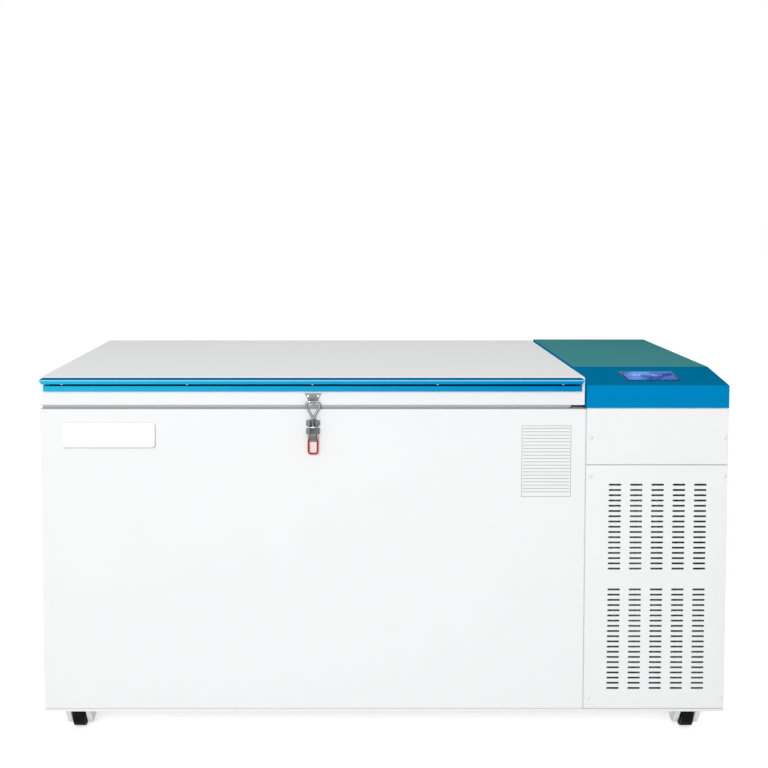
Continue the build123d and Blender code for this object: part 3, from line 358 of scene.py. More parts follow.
# finishes, named for what they cover
# turned (painted light and shade by facing): direction, where the shade starts and is full, shade; sheen fade
# (painted sheen): left, right, shade at the right
finishes = {
    "white_paint": dict(
        skin="coat", color=(0.87, 0.874, 0.878), gloss=0.46, peel=520, bump=0.012, mottle=0.02, dust=0.03,
        specular=0.4),
    "blue_paint": dict(
        skin="coat", color=(0.0, 0.235, 0.53), gloss=0.42, peel=620, bump=0.01, mottle=0.04, specular=0.02),
    "hood_paint": dict(
        skin="coat", color=(0.0, 0.235, 0.53), gloss=0.42, peel=620, bump=0.01, mottle=0.05, specular=0.0,
        # painted shade: faces turned up get a deeper blue, and the flat top a painted teal reflection
        slope=(0.0, 0.187, 0.38), flatTopShadeAndReflection=(0.07, 0.3, 0.31), foldY=-0.2585, upFrom=0.9),
    "trim_blue": dict(
        skin="coat", color=(0.02, 0.46, 0.71), gloss=0.36, peel=620, bump=0.01, mottle=0.12, specular=0.0,
        # painted sheen: brighter at the left and fading to the right; painted shade on faces turned up
        paintedSheenFade=(-0.98, 0.57, (0.0, 0.25, 0.57)), turned=((0, 0, 1), 0.5, 0.95, (0.0, 0.17, 0.37))),
    # painted highlight: pale blue for the bevelled edges of the hood and the trim nose
    "blue_painted_highlight": dict(
        skin="coat", color=(0.32, 0.66, 0.86), gloss=0.3, peel=620, bump=0.01, mottle=0.08, specular=0.1),
    # painted shade: near black, for the shadow in the trim's groove
    "groove_shade_strip": dict(
        skin="coat", color=(0.0, 0.004, 0.022), gloss=0.6, peel=900, bump=0.05, mottle=0.2, specular=0.05),
    # painted shade: grey strips for the thin shade lines in the joints
    "seam_shade_dark": dict(skin="coat", color=(0.3, 0.303, 0.305), gloss=0.6, peel=900, bump=0.04, mottle=0.1),
    "seam_shade_pale": dict(skin="coat", color=(0.76, 0.765, 0.77), gloss=0.6, peel=900, bump=0.04, mottle=0.1),
    "foam": dict(skin="coat", color=(0.72, 0.6, 0.36), gloss=0.85, peel=260, bump=0.35, mottle=0.25),
    "tank_steel": dict(
        skin="brush", color=(0.62, 0.64, 0.66), gloss=0.32, streak=(40, 40, 700), contrast=0.12, metal=0.85),
    "grey_plastic": dict(
        skin="coat", color=(0.62, 0.63, 0.645), gloss=0.48, peel=900, bump=0.05, mottle=0.04),
    "gasket_rubber": dict(
        skin="coat", color=(0.44, 0.445, 0.445), gloss=0.62, peel=1100, bump=0.06, mottle=0.12),
    "latch_steel": dict(
        skin="brush", color=(0.12, 0.121, 0.123), gloss=0.3, streak=(700, 700, 60), contrast=0.3, metal=1.0,
        # painted highlight: faces turned to the front and up are lighter, the rest stays dark
        turned=((0, -0.94, 0.34), 0.72, 1.0, (0.52, 0.522, 0.525))),
    "latch_dark": dict(
        skin="brush", color=(0.1, 0.101, 0.103), gloss=0.34, streak=(700, 700, 60), contrast=0.35, metal=1.0,
        # painted highlight: faces turned to the front and up are lighter, the rest stays dark
        turned=((0, -0.94, 0.34), 0.8, 1.0, (0.2, 0.202, 0.205))),
    "hinge_steel": dict(
        skin="brush", color=(0.5, 0.505, 0.51), gloss=0.36, streak=(60, 700, 700), contrast=0.2, metal=0.9),
    "latch_plate": dict(
        skin="brush", color=(0.25, 0.252, 0.255), gloss=0.5, streak=(60, 700, 700), contrast=0.25,
        metal=0.35),
    # painted highlight: a near-white colour on the lid's rolled edge
    "lid_roll_highlight": dict(skin="coat", color=(0.985, 0.985, 0.985), gloss=0.3, peel=520, bump=0.01, mottle=0.01),
    "red_coat": dict(
        skin="coat", color=(0.5, 0.02, 0.003), gloss=0.34, peel=500, bump=0.03, mottle=0.12, specular=0.12),
    "frame_steel": dict(
        skin="coat", color=(0.4, 0.41, 0.42), gloss=0.45, peel=60, bump=0.02, mottle=0.35, metal=0.9),
    "black_can": dict(skin="coat", color=(0.018, 0.018, 0.019), gloss=0.35, peel=300, bump=0.04, mottle=0.3),
    "fin_aluminium": dict(
        skin="brush", color=(0.68, 0.69, 0.7), gloss=0.36, streak=(300, 300, 20), contrast=0.2, metal=1.0),
    "copper_tube": dict(
        skin="brush", color=(0.63, 0.28, 0.13), gloss=0.3, streak=(200, 200, 30), contrast=0.2, metal=1.0),
    "black_plastic": dict(
        skin="coat", color=(0.018, 0.018, 0.02), gloss=0.42, peel=1000, bump=0.08, mottle=0.2),
    "board_green": dict(skin="coat", color=(0.02, 0.13, 0.05), gloss=0.35, peel=200, bump=0.05, mottle=0.3),
    "screen_glass": dict(
        skin="coat", color=(0.01, 0.012, 0.05), gloss=0.12, peel=40, bump=0.002, mottle=0.3, specular=0.03),
    "caster_grey": dict(
        skin="coat", color=(0.9, 0.903, 0.906), gloss=0.4, peel=420, bump=0.04, mottle=0.08, dust=0.1),
    "wheel_black": dict(
        skin="coat", color=(0.004, 0.006, 0.006), gloss=0.5, peel=700, bump=0.12, mottle=0.3, dust=0.02,
        specular=0.06),
    "condenser_black": dict(skin="coat", color=(0.3, 0.3, 0.302), gloss=0.5, peel=300, bump=0.05, mottle=4.6),
    "plate_rim": dict(
        skin="coat", color=(0.86, 0.862, 0.865), gloss=0.3, peel=300, bump=0.008, mottle=0.04,
        # painted shade: the rim is greyer than the plate and darker on faces turned right and down
        turned=((0.55, 0, -0.83), 0.15, 0.6, (0.27, 0.272, 0.275))),
    "cap_white": dict(
        skin="coat", color=(0.84, 0.842, 0.845), gloss=0.4, peel=520, bump=0.01, mottle=0.03,
        # painted shade: the cap darkens on faces turned right and down
        turned=((0.9, 0, -0.44), 0.15, 0.8, (0.5, 0.502, 0.505))),
    "plate_white": dict(
        skin="coat", color=(0.95, 0.952, 0.955), gloss=0.22, peel=300, bump=0.008, mottle=0.02),
    "card_white": dict(skin="coat", color=(0.86, 0.862, 0.862), gloss=0.5, peel=1500, bump=0.02, mottle=0.03),
    "card_rule": dict(skin="coat", color=(0.3, 0.303, 0.306), gloss=0.6, peel=1500, bump=0.02, mottle=0.1),
    "zinc_screw": dict(
        skin="brush", color=(0.66, 0.65, 0.6), gloss=0.26, streak=(900, 60, 900), contrast=0.2, metal=1.0),
    "brass_screw": dict(
        skin="brush", color=(0.62, 0.45, 0.2), gloss=0.27, streak=(900, 900, 60), contrast=0.2, metal=1.0),
}
skinInputs = {"coat": (("Mottle", "mottle"), ("Peel Scale", "peel")),
              "brush": (("Streak", "streak"), ("Contrast", "contrast"))}
metalBump = 0.04  # bump strength where a finish gives none
bumpDepth = 0.0006


def paintedLightShades(tree, coords, look):  # painted light and shade: pairs of a mask and the colour it lays on
    shades = []
    if "flatTopShadeAndReflection" in look:  # painted shade: deeper blue on faces turned up, and a painted teal reflection where the sheet lies flat behind its fold
        behind = math2(tree, "GREATER_THAN", axesOf(tree, coords.outputs["Object"])["Y"], look["foldY"])
        upward = math2(tree, "GREATER_THAN", axesOf(tree, coords.outputs["Normal"])["Z"], look["upFrom"])
        shades += [(upward, look["slope"]), (math2(tree, "MULTIPLY", behind, upward), look["flatTopShadeAndReflection"])]
    # painted sheen: the colour fades along X from the left to the shade at the right
    if "paintedSheenFade" in look:
        low, high, shade = look["paintedSheenFade"]
        shades.append((ranged(tree, axesOf(tree, coords.outputs["Object"])["X"], low, high), shade))
    # painted light and shade by facing: a face turned along the way takes the given colour, a painted
    # highlight or a painted shade
    if "turned" in look:
        way, low, high, shade = look["turned"]
        toward = tree.nodes.new("ShaderNodeVectorMath")
        toward.operation = "DOT_PRODUCT"
        tree.links.new(coords.outputs["Normal"], toward.inputs[0])
        toward.inputs[1].default_value = way
        shades.append((ranged(tree, toward.outputs["Value"], low, high), shade))
    return shades


def makeFinish(name, look):
    mat = bpy.data.materials.new(name)
    mat.use_nodes = True
    tree = mat.node_tree
    shader = tree.nodes["Principled BSDF"]
    coords = tree.nodes.new("ShaderNodeTexCoord")
    skin = tree.nodes.new("ShaderNodeGroup")
    skin.node_tree = groups[look["skin"]]
    tree.links.new(coords.outputs["Object"], skin.inputs["Vector"])
    skin.inputs["Color"].default_value = (*look["color"], 1)
    skin.inputs["Gloss"].default_value = look["gloss"]
    for label, key in skinInputs[look["skin"]]:
        skin.inputs[label].default_value = look[key]
    color = skin.outputs["Color"]
    if "dust" in look:
        dust = tree.nodes.new("ShaderNodeGroup")
        dust.node_tree = groups["dust"]
        dust.inputs["Amount"].default_value = look["dust"]
        tree.links.new(coords.outputs["Object"], dust.inputs["Vector"])
        tree.links.new(color, dust.inputs["Color"])
        color = dust.outputs["Color"]
    for mask, shade in paintedLightShades(tree, coords, look):
        color = mixed(tree, color, (*shade, 1), mask)
    bump = tree.nodes.new("ShaderNodeBump")
    bump.inputs["Strength"].default_value = look.get("bump", metalBump)
    bump.inputs["Distance"].default_value = bumpDepth
    tree.links.new(skin.outputs["Height"], bump.inputs["Height"])
    tree.links.new(color, shader.inputs["Base Color"])
    tree.links.new(skin.outputs["Roughness"], shader.inputs["Roughness"])
    tree.links.new(bump.outputs["Normal"], shader.inputs["Normal"])
    shader.inputs["Metallic"].default_value = look.get("metal", 0.0)
    shader.inputs["Specular IOR Level"].default_value = look.get("specular", 0.5)
    return mat


materials = {name: makeFinish(name, look) for name, look in finishes.items()}
for name, obj in nodes.items():
    obj.data.materials.clear()
    paint(obj, "condenser_black" if name == "condenser" else slotOf[name])
print("finishes ready:", len(materials))


# studio: floor, world and lights
studio = dict(floorSize=60, floorDrop=0.0005, floorColor=(0.9, 0.9, 0.9), floorRough=0.9, floorGlow=0.56,
              worldFill=0.5)
lamps = {
    "keySoftbox": dict(place=(-1.8, -9.0, 4.6), aim=(0, 0, 0.6), size=(3.4, 2.2), power=430),
    "topSoftbox": dict(place=(0.2, 0.4, 4.2), aim=(0, 0, 0), size=(4.0, 2.6), power=12),
}


def raysSeen(tree, *kinds):  # one for rays of these kinds
    rays = tree.nodes.new("ShaderNodeLightPath")
    seen = 0.0
    for kind in kinds:
        seen = math2(tree, "MAXIMUM", rays.outputs[kind], seen)
    return seen


def makeFloor():
    clearPick()
    bpy.ops.mesh.primitive_plane_add(size=studio["floorSize"], location=(0, 0, -studio["floorDrop"]))
    floor = bpy.context.object
    floor.name = "studioFloor"
    settle(floor)
    mat = bpy.data.materials.new("studioFloor")
    mat.use_nodes = True
    tree = mat.node_tree
    shader = tree.nodes["Principled BSDF"]
    shader.inputs["Base Color"].default_value = (*studio["floorColor"], 1)
    shader.inputs["Roughness"].default_value = studio["floorRough"]
    glow = tree.nodes.new("ShaderNodeEmission")
    seen = raysSeen(tree, "Is Camera Ray", "Is Glossy Ray")
    tree.links.new(math2(tree, "MULTIPLY", seen, studio["floorGlow"]), glow.inputs["Strength"])
    both = tree.nodes.new("ShaderNodeAddShader")
    tree.links.new(shader.outputs[0], both.inputs[0])
    tree.links.new(glow.outputs[0], both.inputs[1])
    tree.links.new(both.outputs[0], tree.nodes["Material Output"].inputs["Surface"])
    floor.data.materials.append(mat)


def makeWorld():  # white where it is seen, softer where it only lights
    world = bpy.data.worlds.new("studioWorld")
    bpy.context.scene.world = world
    world.use_nodes = True
    tree = world.node_tree
    back = tree.nodes["Background"]
    back.inputs["Color"].default_value = (1, 1, 1, 1)
    seen = raysSeen(tree, "Is Camera Ray", "Is Glossy Ray", "Is Transmission Ray")
    level = math2(tree, "ADD", math2(tree, "MULTIPLY", seen, 1 - studio["worldFill"]), studio["worldFill"])
    tree.links.new(level, back.inputs["Strength"])


def makeLamp(name, lamp):
    clearPick()
    bpy.ops.object.light_add(type="AREA", location=lamp["place"])
    light = bpy.context.object
    light.name = name
    light.data.shape = "RECTANGLE"
    light.data.size, light.data.size_y = lamp["size"]
    light.data.energy = lamp["power"]
    light.rotation_euler = (Vector(lamp["aim"]) - Vector(lamp["place"])).to_track_quat("-Z", "Y").to_euler()


makeFloor()
makeWorld()
for name, lamp in lamps.items():
    makeLamp(name, lamp)

view = dict(place=(-0.102, -3.4975, 1.5395), pitchDown=2.95, lens=50.2, sensor=36,
            shiftX=0.0456, shiftY=-0.1493)


def makeCamera():
    clearPick()
    bpy.ops.object.camera_add(location=view["place"], rotation=(math.radians(90 - view["pitchDown"]), 0, 0))
    cam = bpy.context.object
    cam.name = "photoCamera"
    cam.data.lens = view["lens"]
    cam.data.sensor_width = view["sensor"]
    cam.data.shift_x = view["shiftX"]
    cam.data.shift_y = view["shiftY"]
    bpy.context.scene.camera = cam


makeCamera()
bpy.context.scene.view_settings.view_transform = "Standard"
print("studio and camera ready")


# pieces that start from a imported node: merged, then its edges broken as a maker would
flatWithin = 1  # degrees, facets this close to one plane become one face


def softCopy(name, width, segments=2, angle=35, highlightFinish=None):
    obj = bpy.data.objects.new(name + "Soft", nodes[name].data.copy())
    bpy.context.scene.collection.objects.link(obj)
    facesOut(obj)
    editAll(obj)
    bpy.ops.mesh.dissolve_limited(angle_limit=math.radians(flatWithin))
    leaveEdit()
    if highlightFinish:
        paint(obj, highlightFinish)
    roundEdges(obj, width, segments, angle, 1 if highlightFinish else -1)
    facesOut(obj)
    smooth(obj, angle=35)
    return obj


corners = ("front_left", "front_right", "rear_left", "rear_right")
softEdges = {  # node: edge width in metres
    "upper_front_panel": 0.0006, "lid_gasket": 0.0016, "latch_base": 0.0006, "latch_lever": 0.0006,
    "latch_keeper": 0.0005, "hinge_lower_leaves": 0.0007, "hinge_upper_leaves": 0.0007, "base_pan": 0.0006,
    "rim_breaker": 0.0025, "lid_liner": 0.0006, "power_inlet": 0.0006, "power_switch": 0.0005,
    "power_rocker": 0.0006, "caster_plates": 0.0008,
    **{"caster_fork_" + corner: 0.0022 for corner in corners},
}
otherFinish = {"latch_base": "latch_plate", "latch_lever": "latch_dark", "latch_keeper": "latch_plate",
               "hinge_lower_leaves": "hinge_steel", "hinge_upper_leaves": "hinge_steel"}
for name, width in softEdges.items():
    wear(softCopy(name, width), otherFinish.get(name, slotOf[name]), bodyOf[name], slotOf[name], name)

# the latch base's foot is a little shorter
latchFoot = dict(below=0.885, lift=0.0095)
movePoints(bpy.data.objects["latch_baseSoft"], lambda p: p.z < latchFoot["below"], (0, 0, latchFoot["lift"]))

# control hood: a painted highlight on its edges, but not on its left side
hoodEdge = dict(width=0.0022, segments=3, angle=20, leftTurn=-0.2)
hood = softCopy("control_hood", hoodEdge["width"], hoodEdge["segments"], hoodEdge["angle"], "blue_painted_highlight")
wear(hood, "hood_paint", "cabinet", "blue_paint", "control_hood")
editPick(hood, "FACE", lambda c, n: n.x < hoodEdge["leftTurn"])
hood.active_material_index = 0
bpy.ops.object.material_slot_assign()
leaveEdit()
print("softened nodes:", len(softEdges) + 1)

# lid skin: folded sheet, its top edges rolled, the roll carrying a painted highlight
lidSkin = dict(roll=0.0045, rollSteps=3, sheet=0.0015)


def makeLidSkin():
    low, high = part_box("lid_shell")
    obj = block("lidSkin", low, high)
    deleteFaces(obj, lambda c, n: n.z < -square)
    paint(obj, "white_paint", "lid_roll_highlight")
    bevelEdges(obj, lambda a, b: a.z + b.z > 2 * low.z + near, lidSkin["roll"], lidSkin["rollSteps"], slot=1)
    thicken(obj, lidSkin["sheet"])
    smooth(obj)
    wear(obj, "white_paint", "lid", "white_paint", "lid_shell")


makeLidSkin()

# handle trim: flared nose over a near-black strip in its groove, painted shade for the shadow under the nose,
# flange below
trim = dict(out=0.028, drop=0.005, below=0.002, noseHigh=0.017, left=-0.985, right=0.5695, endSlack=0.001,
            flare=0.005, undercut=0.0075, topRound=0.0022, lowRound=0.003, roundSteps=4,
            high=0.04, flangeHigh=0.0155, flangeOut=0.01, flangeLeft=-0.9775, flangeRight=0.5653,
            flangeRound=0.0009, back=0.0025, overlap=0.002, stripRound=0.0004,
            shadeStripLeft=0.017, shadeStripRight=0.006, shadeStrip=0.0005, shadeStripRound=0.0002)


def makeNose(front, top):
    s = trim
    halfOut, halfUp = front - s["out"] / 2, top - (s["below"] + s["noseHigh"]) / 2
    obj = block("trimNose", (s["left"], front - s["out"], top - s["noseHigh"]),
                (s["right"], front, top - s["below"]))
    for side, end in ((-1, -s["left"]), (1, s["right"])):
        atEnd = lambda p: p.x * side > end - s["endSlack"]
        movePoints(obj, lambda p: atEnd(p) and p.y > halfOut, (-side * s["flare"], 0, 0))
        movePoints(obj, lambda p: atEnd(p) and p.z < halfUp, (-side * s["undercut"], 0, 0))
    movePoints(obj, lambda p: p.y < halfOut and p.z > halfUp, (0, 0, s["below"] - s["drop"]))
    paint(obj, "trim_blue", "blue_painted_highlight")
    # the nose's top round takes the painted highlight
    bevelEdges(obj, lambda a, b: max(a.y, b.y) < halfOut and min(a.z, b.z) > halfUp,
               s["topRound"], s["roundSteps"], slot=1)
    bevelEdges(obj, lambda a, b: max(a.y, b.y) < halfOut and max(a.z, b.z) < halfUp,
               s["lowRound"], s["roundSteps"])
    smooth(obj)
    wear(obj, "trim_blue", "lid", "blue_paint", "handle_trim", "trim_end_caps")


def makeFlange(front, top):
    s = trim
    left, right, noseLow = s["flangeLeft"], s["flangeRight"], top - s["noseHigh"]
    flangeLow, stripFront = top - s["high"], front - s["back"]
    flangeTop = flangeLow + s["flangeHigh"]
    flange = block("trimFlange", (left, front - s["flangeOut"], flangeLow), (right, front, flangeTop))
    paint(flange, "trim_blue")
    roundEdges(flange, s["flangeRound"], segments=3)
    strip = block("trimStrip", (left, stripFront, flangeTop - s["overlap"]), (right, front, noseLow))
    paint(strip, "trim_blue")
    roundEdges(strip, s["stripRound"])
    flange = joinAll([flange, strip], "trimFlange")
    smooth(flange)
    wear(flange, "trim_blue", "lid", "blue_paint", "trim_flange")
    # painted shade: the near-black strip stands where the groove lies in the nose's shadow
    shadeStrip = block("trimGrooveShade", (left + s["shadeStripLeft"], stripFront - s["shadeStrip"], flangeTop),
                 (right - s["shadeStripRight"], stripFront, noseLow))
    roundEdges(shadeStrip, s["shadeStripRound"])
    wear(shadeStrip, "groove_shade_strip", "lid", "gasket_rubber")


lidLow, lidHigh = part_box("lid_shell")
makeNose(lidLow.y, lidHigh.z)
makeFlange(lidLow.y, lidHigh.z)

# louvred panel of the machine housing: rows of slots with rounded corners
grille = dict(slotLength=0.0355, slotHeight=0.0058, corner=0.0014, columns=5, columnPitch=0.0615,
              rowPitch=0.01535, firstDrop=0.0565, shiftX=0.0022, upperRows=17, lowerRows=20, skipped=3,
              sheet=0.0015, edge=0.0016, cutDepth=0.012)


def makeSlotCutter(middle, front, topRow, rows):
    s = grille
    reach, deep, half = s["slotLength"] / 2, s["cutDepth"] / 2, s["slotHeight"] / 2
    obj = block("slotCutter", (-reach, -deep, -half), (reach, deep, half))
    bevelEdges(obj, alongY, s["corner"], segments=2)
    moveWhole(obj, (middle - s["columnPitch"] * (s["columns"] - 1) / 2, front, topRow))
    repeat(obj, s["columns"], (s["columnPitch"], 0, 0))
    repeat(obj, rows, (0, 0, -s["rowPitch"]))
    return obj


def makeGrille():
    s = grille
    low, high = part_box("grille_panel")
    obj = block("louvrePanel", low, high)
    deleteFaces(obj, lambda c, n: n.y > square)
    bevelEdges(obj, lambda a, b: a.y + b.y < 2 * low.y + near, s["edge"], segments=3)
    thicken(obj, s["sheet"])
    middle = (low.x + high.x) / 2 + s["shiftX"]
    firstRow = high.z - s["firstDrop"]
    secondRow = firstRow - (s["upperRows"] + s["skipped"]) * s["rowPitch"]
    for topRow, rows in ((firstRow, s["upperRows"]), (secondRow, s["lowerRows"])):
        cutBy(obj, makeSlotCutter(middle, low.y, topRow, rows))
    smooth(obj, angle=30)
    wear(obj, "white_paint", "cabinet", "white_paint", "grille_panel")


makeGrille()
print("lid skin, trim and louvres ready")

# name plate, left bare, and a blank ruled card
namePlate = dict(corner=0.009, cornerSteps=5, rim=0.0045, rimSteps=4, rimShare=0.9)
card = dict(left=0.3935, right=0.5385, bottom=0.724, top=0.934, thick=0.0003, corner=0.001, ink=0.0001,
            margin=0.005, rule=0.0015, gap=0.0097, first=0.0105, rows=20, edge=0.0015, line=0.0013)


def makeNamePlate():
    low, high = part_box("name_plate")
    obj = block("namePlateBare", low, high)
    bevelEdges(obj, alongY, namePlate["corner"], namePlate["cornerSteps"])
    rim = min(namePlate["rim"], (high.y - low.y) * namePlate["rimShare"])
    paint(obj, "plate_white", "plate_rim")
    bevelEdges(obj, lambda a, b: max(a.y, b.y) < low.y + near, rim, namePlate["rimSteps"], slot=1)
    smooth(obj, angle=50)
    wear(obj, "plate_white", "cabinet", "white_paint", "name_plate")


def makeCard():
    s = card
    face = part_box("chest_shell")[0].y
    back = face - s["thick"]
    front = back - s["ink"]
    obj = block("blankCard", (s["left"], back, s["bottom"]), (s["right"], face, s["top"]))
    bevelEdges(obj, alongY, s["corner"], segments=2)
    wear(obj, "card_white", "cabinet", "white_paint")
    line = s["line"]
    left, right = s["left"] + s["edge"], s["right"] - s["edge"]
    bottom, top = s["bottom"] + s["edge"], s["top"] - s["edge"]
    lines = [block("cardBar", (fromX, front, fromZ), (toX, back, toZ)) for fromX, fromZ, toX, toZ in (
        (left, top - line, right, top), (left, bottom, right, bottom + line),
        (left, bottom, left + line, top), (right - line, bottom, right, top))]
    firstRule = s["top"] - s["first"]
    rule = block("cardRule", (s["left"] + s["margin"], front, firstRule),
                 (s["right"] - s["margin"], back, firstRule + s["rule"]))
    repeat(rule, s["rows"], (0, 0, -s["gap"]))
    wear(joinAll(lines + [rule], "cardRules"), "card_rule", "cabinet", "white_paint")


makeNamePlate()
makeCard()
print("plate and card ready")


# bent wire: a ring drawn along straight runs and spun round each bend, both ends closed
def bendWire(name, points, radius, bend, sides=14, steps=6):
    points = [Vector(p) for p in points]
    clearPick()
    first = (points[1] - points[0]).normalized()
    bpy.ops.mesh.primitive_circle_add(vertices=sides, radius=radius, location=points[0],
                                      rotation=first.to_track_quat("Z", "Y").to_euler())
    obj = bpy.context.object
    obj.name = name
    settle(obj)
    bpy.ops.object.mode_set(mode="EDIT")
    bpy.ops.mesh.select_mode(type="EDGE")
    bpy.ops.mesh.select_all(action="SELECT")
    at = points[0]
    for before, corner, after in zip(points, points[1:], points[2:]):
        way, turned = (corner - before).normalized(), (after - corner).normalized()
        angle = way.angle(turned)
        reach = bend * math.tan(angle / 2)
        bpy.ops.mesh.extrude_region_move(TRANSFORM_OT_translate={"value": corner - way * reach - at})
        axis = way.cross(turned).normalized()
        middle = corner - way * reach + axis.cross(way) * bend
        bpy.ops.mesh.spin(steps=steps, angle=-angle, center=middle, axis=axis)
        at = corner + turned * reach
    bpy.ops.mesh.extrude_region_move(TRANSFORM_OT_translate={"value": points[-1] - at})
    bpy.ops.mesh.edge_face_add()
    bpy.ops.mesh.select_all(action="DESELECT")
    bpy.ops.mesh.select_non_manifold()  # the open ring at the start
    bpy.ops.mesh.edge_face_add()
    leaveEdit()
    facesOut(obj)
    return obj


# latch: bail with its threaded stem and nuts, red grip, riveted tabs
bail = dict(x=-0.205, y=-0.4575, footZ=0.958, barZ=1.004, half=0.0275, footHalf=0.0015, wire=0.003,
            bend=0.0105, pinZ=0.929, pin=0.0024, pinHalf=0.0165, hub=0.0042, hubHalf=0.0082, edge=0.0006,
            stem=0.003, thread=0.0035, threadPitch=0.0011, threadFrom=0.0096, turns=14, ridge=0.6,
            ridgeEdge=0.25, nut=0.0056, nutHigh=0.004, nutRise=0.005)


def makeBail():
    s = bail
    x, y, foot, bar, pinZ = s["x"], s["y"], s["footZ"], s["barZ"], s["pinZ"]
    wire = bendWire("bailWire", [(x - s["footHalf"], y, foot), (x - s["half"], y, bar),
                                 (x + s["half"], y, bar), (x + s["footHalf"], y, foot)], s["wire"], s["bend"])
    rod = disc("bailRod", s["stem"], foot - pinZ, (x, y, (foot + pinZ) / 2), sides=20)
    pitch = s["threadPitch"]
    thread = disc("bailThread", s["thread"], pitch * s["ridge"], (x, y, pinZ + s["threadFrom"]), sides=20)
    roundEdges(thread, pitch * s["ridgeEdge"], segments=1)
    repeat(thread, s["turns"], (0, 0, pitch))
    fittings = [disc("bailNut", s["nut"], s["nutHigh"], (x, y, bottom + s["nutHigh"] / 2), sides=6)
                for bottom in (pinZ + s["nutRise"], foot - s["nutHigh"])]
    fittings += [disc(name, radius, 2 * half, (x, y, pinZ), "X", sides=24) for name, radius, half in (
        ("bailHub", s["hub"], s["hubHalf"]), ("bailPin", s["pin"], s["pinHalf"]))]
    for fitting in fittings:
        roundEdges(fitting, s["edge"])
    obj = joinAll([wire, rod, thread] + fittings, "latchBail")
    smooth(obj)
    wear(obj, "latch_steel", "latch_loop", "latch_steel", "latch_loop")


grip = dict(y=-0.4585, half=0.01295, wire=0.0028, bend=0.0065, top=0.909, redTop=0.893, low=0.854,
            legShare=0.86, legEdge=0.0005)


def makeGrip():
    s = grip
    y, redTop, low = s["y"], s["redTop"], s["low"]
    left, right = bail["x"] - s["half"], bail["x"] + s["half"]
    red = bendWire("latchGripRed", [(left, y, redTop), (left, y, low), (right, y, low), (right, y, redTop)],
                   s["wire"], s["bend"])
    smooth(red, angle=60)
    wear(red, "red_coat", "latch_lever", "red_coat", "latch_grip")
    middle, high = (s["top"] + redTop) / 2, s["top"] - redTop
    legs = [disc("gripLeg", s["wire"] * s["legShare"], high, (x, y, middle), sides=16) for x in (left, right)]
    for leg in legs:
        roundEdges(leg, s["legEdge"])
    obj = joinAll(legs, "latchGripLegs")
    smooth(obj)
    wear(obj, "latch_steel", "latch_lever", "latch_steel")


wings = dict(half=0.0205, inner=0.0145, thick=0.002, corner=0.0022, edge=0.0003,
             levels=((0.9325, 0.949), (0.9085, 0.9255)), rivet=0.0021, rivetHigh=0.001, rivetRound=0.00045)


def makeWings():  # tabs either side of the latch base, each with a rivet
    s = wings
    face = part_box("chest_shell")[0].y
    front = face - s["thick"]
    parts = []
    for side in (-1, 1):
        left, right = sorted(bail["x"] + side * reach for reach in (s["inner"], s["half"]))
        for bottom, top in s["levels"]:
            tab = block("latchTab", (left, front, bottom), (right, face, top))
            bevelEdges(tab, alongY, s["corner"], segments=3)
            roundEdges(tab, s["edge"], angle=60)
            middle = ((left + right) / 2, front - s["rivetHigh"] / 2, (bottom + top) / 2)
            rivet = disc("latchRivet", s["rivet"], s["rivetHigh"], middle, "Y", sides=18)
            roundEdges(rivet, s["rivetRound"], segments=3)
            parts += [tab, rivet]
    obj = joinAll(parts, "latchWings")
    smooth(obj)
    wear(obj, "latch_plate", "cabinet", "latch_steel")


makeBail()
makeGrip()
makeWings()
print("latch ready")

# screws: one pan head with a cross recess, one plain domed cap, copied where they belong
screw = dict(radius=0.0034, height=0.0018, sides=20, wall=0.5, domes=((0.22, 0.28), (0.3, 0.16)), middle=0.1,
             crossLength=0.62, crossWidth=0.17, crossDepth=0.0009, crossOver=0.001)
cap = dict(radius=0.0065, rise=0.0036, segments=24, rings=12)


def makeScrew():
    r, h = screw["radius"], screw["height"]
    wall = h * screw["wall"]
    obj = disc("screwHead", r, wall, (0, -wall / 2, 0), "Y", screw["sides"])
    for share, lift in screw["domes"]:
        editPick(obj, "FACE", lambda c, n: n.y < -square and abs(c.x) + abs(c.z) < r * screw["middle"])
        bpy.ops.mesh.inset(thickness=r * share)
        bpy.ops.transform.translate(value=(0, -h * lift, 0))
        leaveEdit()
    long, wide = r * screw["crossLength"], r * screw["crossWidth"]
    for x, z in ((long, wide), (wide, long)):
        cutBy(obj, block("screwArm", (-x, -h - screw["crossOver"], -z), (x, -h + screw["crossDepth"], z)))
    smooth(obj)
    return obj


def makeCap():
    clearPick()
    bpy.ops.mesh.primitive_uv_sphere_add(
        segments=cap["segments"], ring_count=cap["rings"], radius=cap["radius"])
    obj = bpy.context.object
    obj.name = "domeCap"
    obj.scale = (1, cap["rise"] / cap["radius"], 1)
    settle(obj)
    editAll(obj)
    bpy.ops.mesh.bisect(plane_co=(0, 0, 0), plane_no=(0, 1, 0), use_fill=True, clear_outer=True)
    leaveEdit()
    smooth(obj, angle=60)
    return obj


def spread(master, name, places, facing, size=1.0, flat=1.0):  # copies joined into one piece
    turn = {"front": 0, "right": math.pi / 2, "back": math.pi}[facing]
    twins = []
    for place in places:
        twin = copyTo(master, name, (0, 0, 0))
        twin.scale = (size, size * flat, size)
        twin.rotation_euler = (0, 0, turn)
        twin.location = place
        settle(twin)
        twins.append(twin)
    return joinAll(twins, name)


masterScrew, masterCap = makeScrew(), makeCap()

panelCaps = dict(x=(0.593, 0.979), z=(0.8985, 0.786, 0.1326))
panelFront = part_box("upper_front_panel")[0].y
places = [(x, panelFront, z) for x in panelCaps["x"] for z in panelCaps["z"]]
wear(spread(masterCap, "panelCaps", places, "front"), "cap_white", "cabinet", "white_paint")

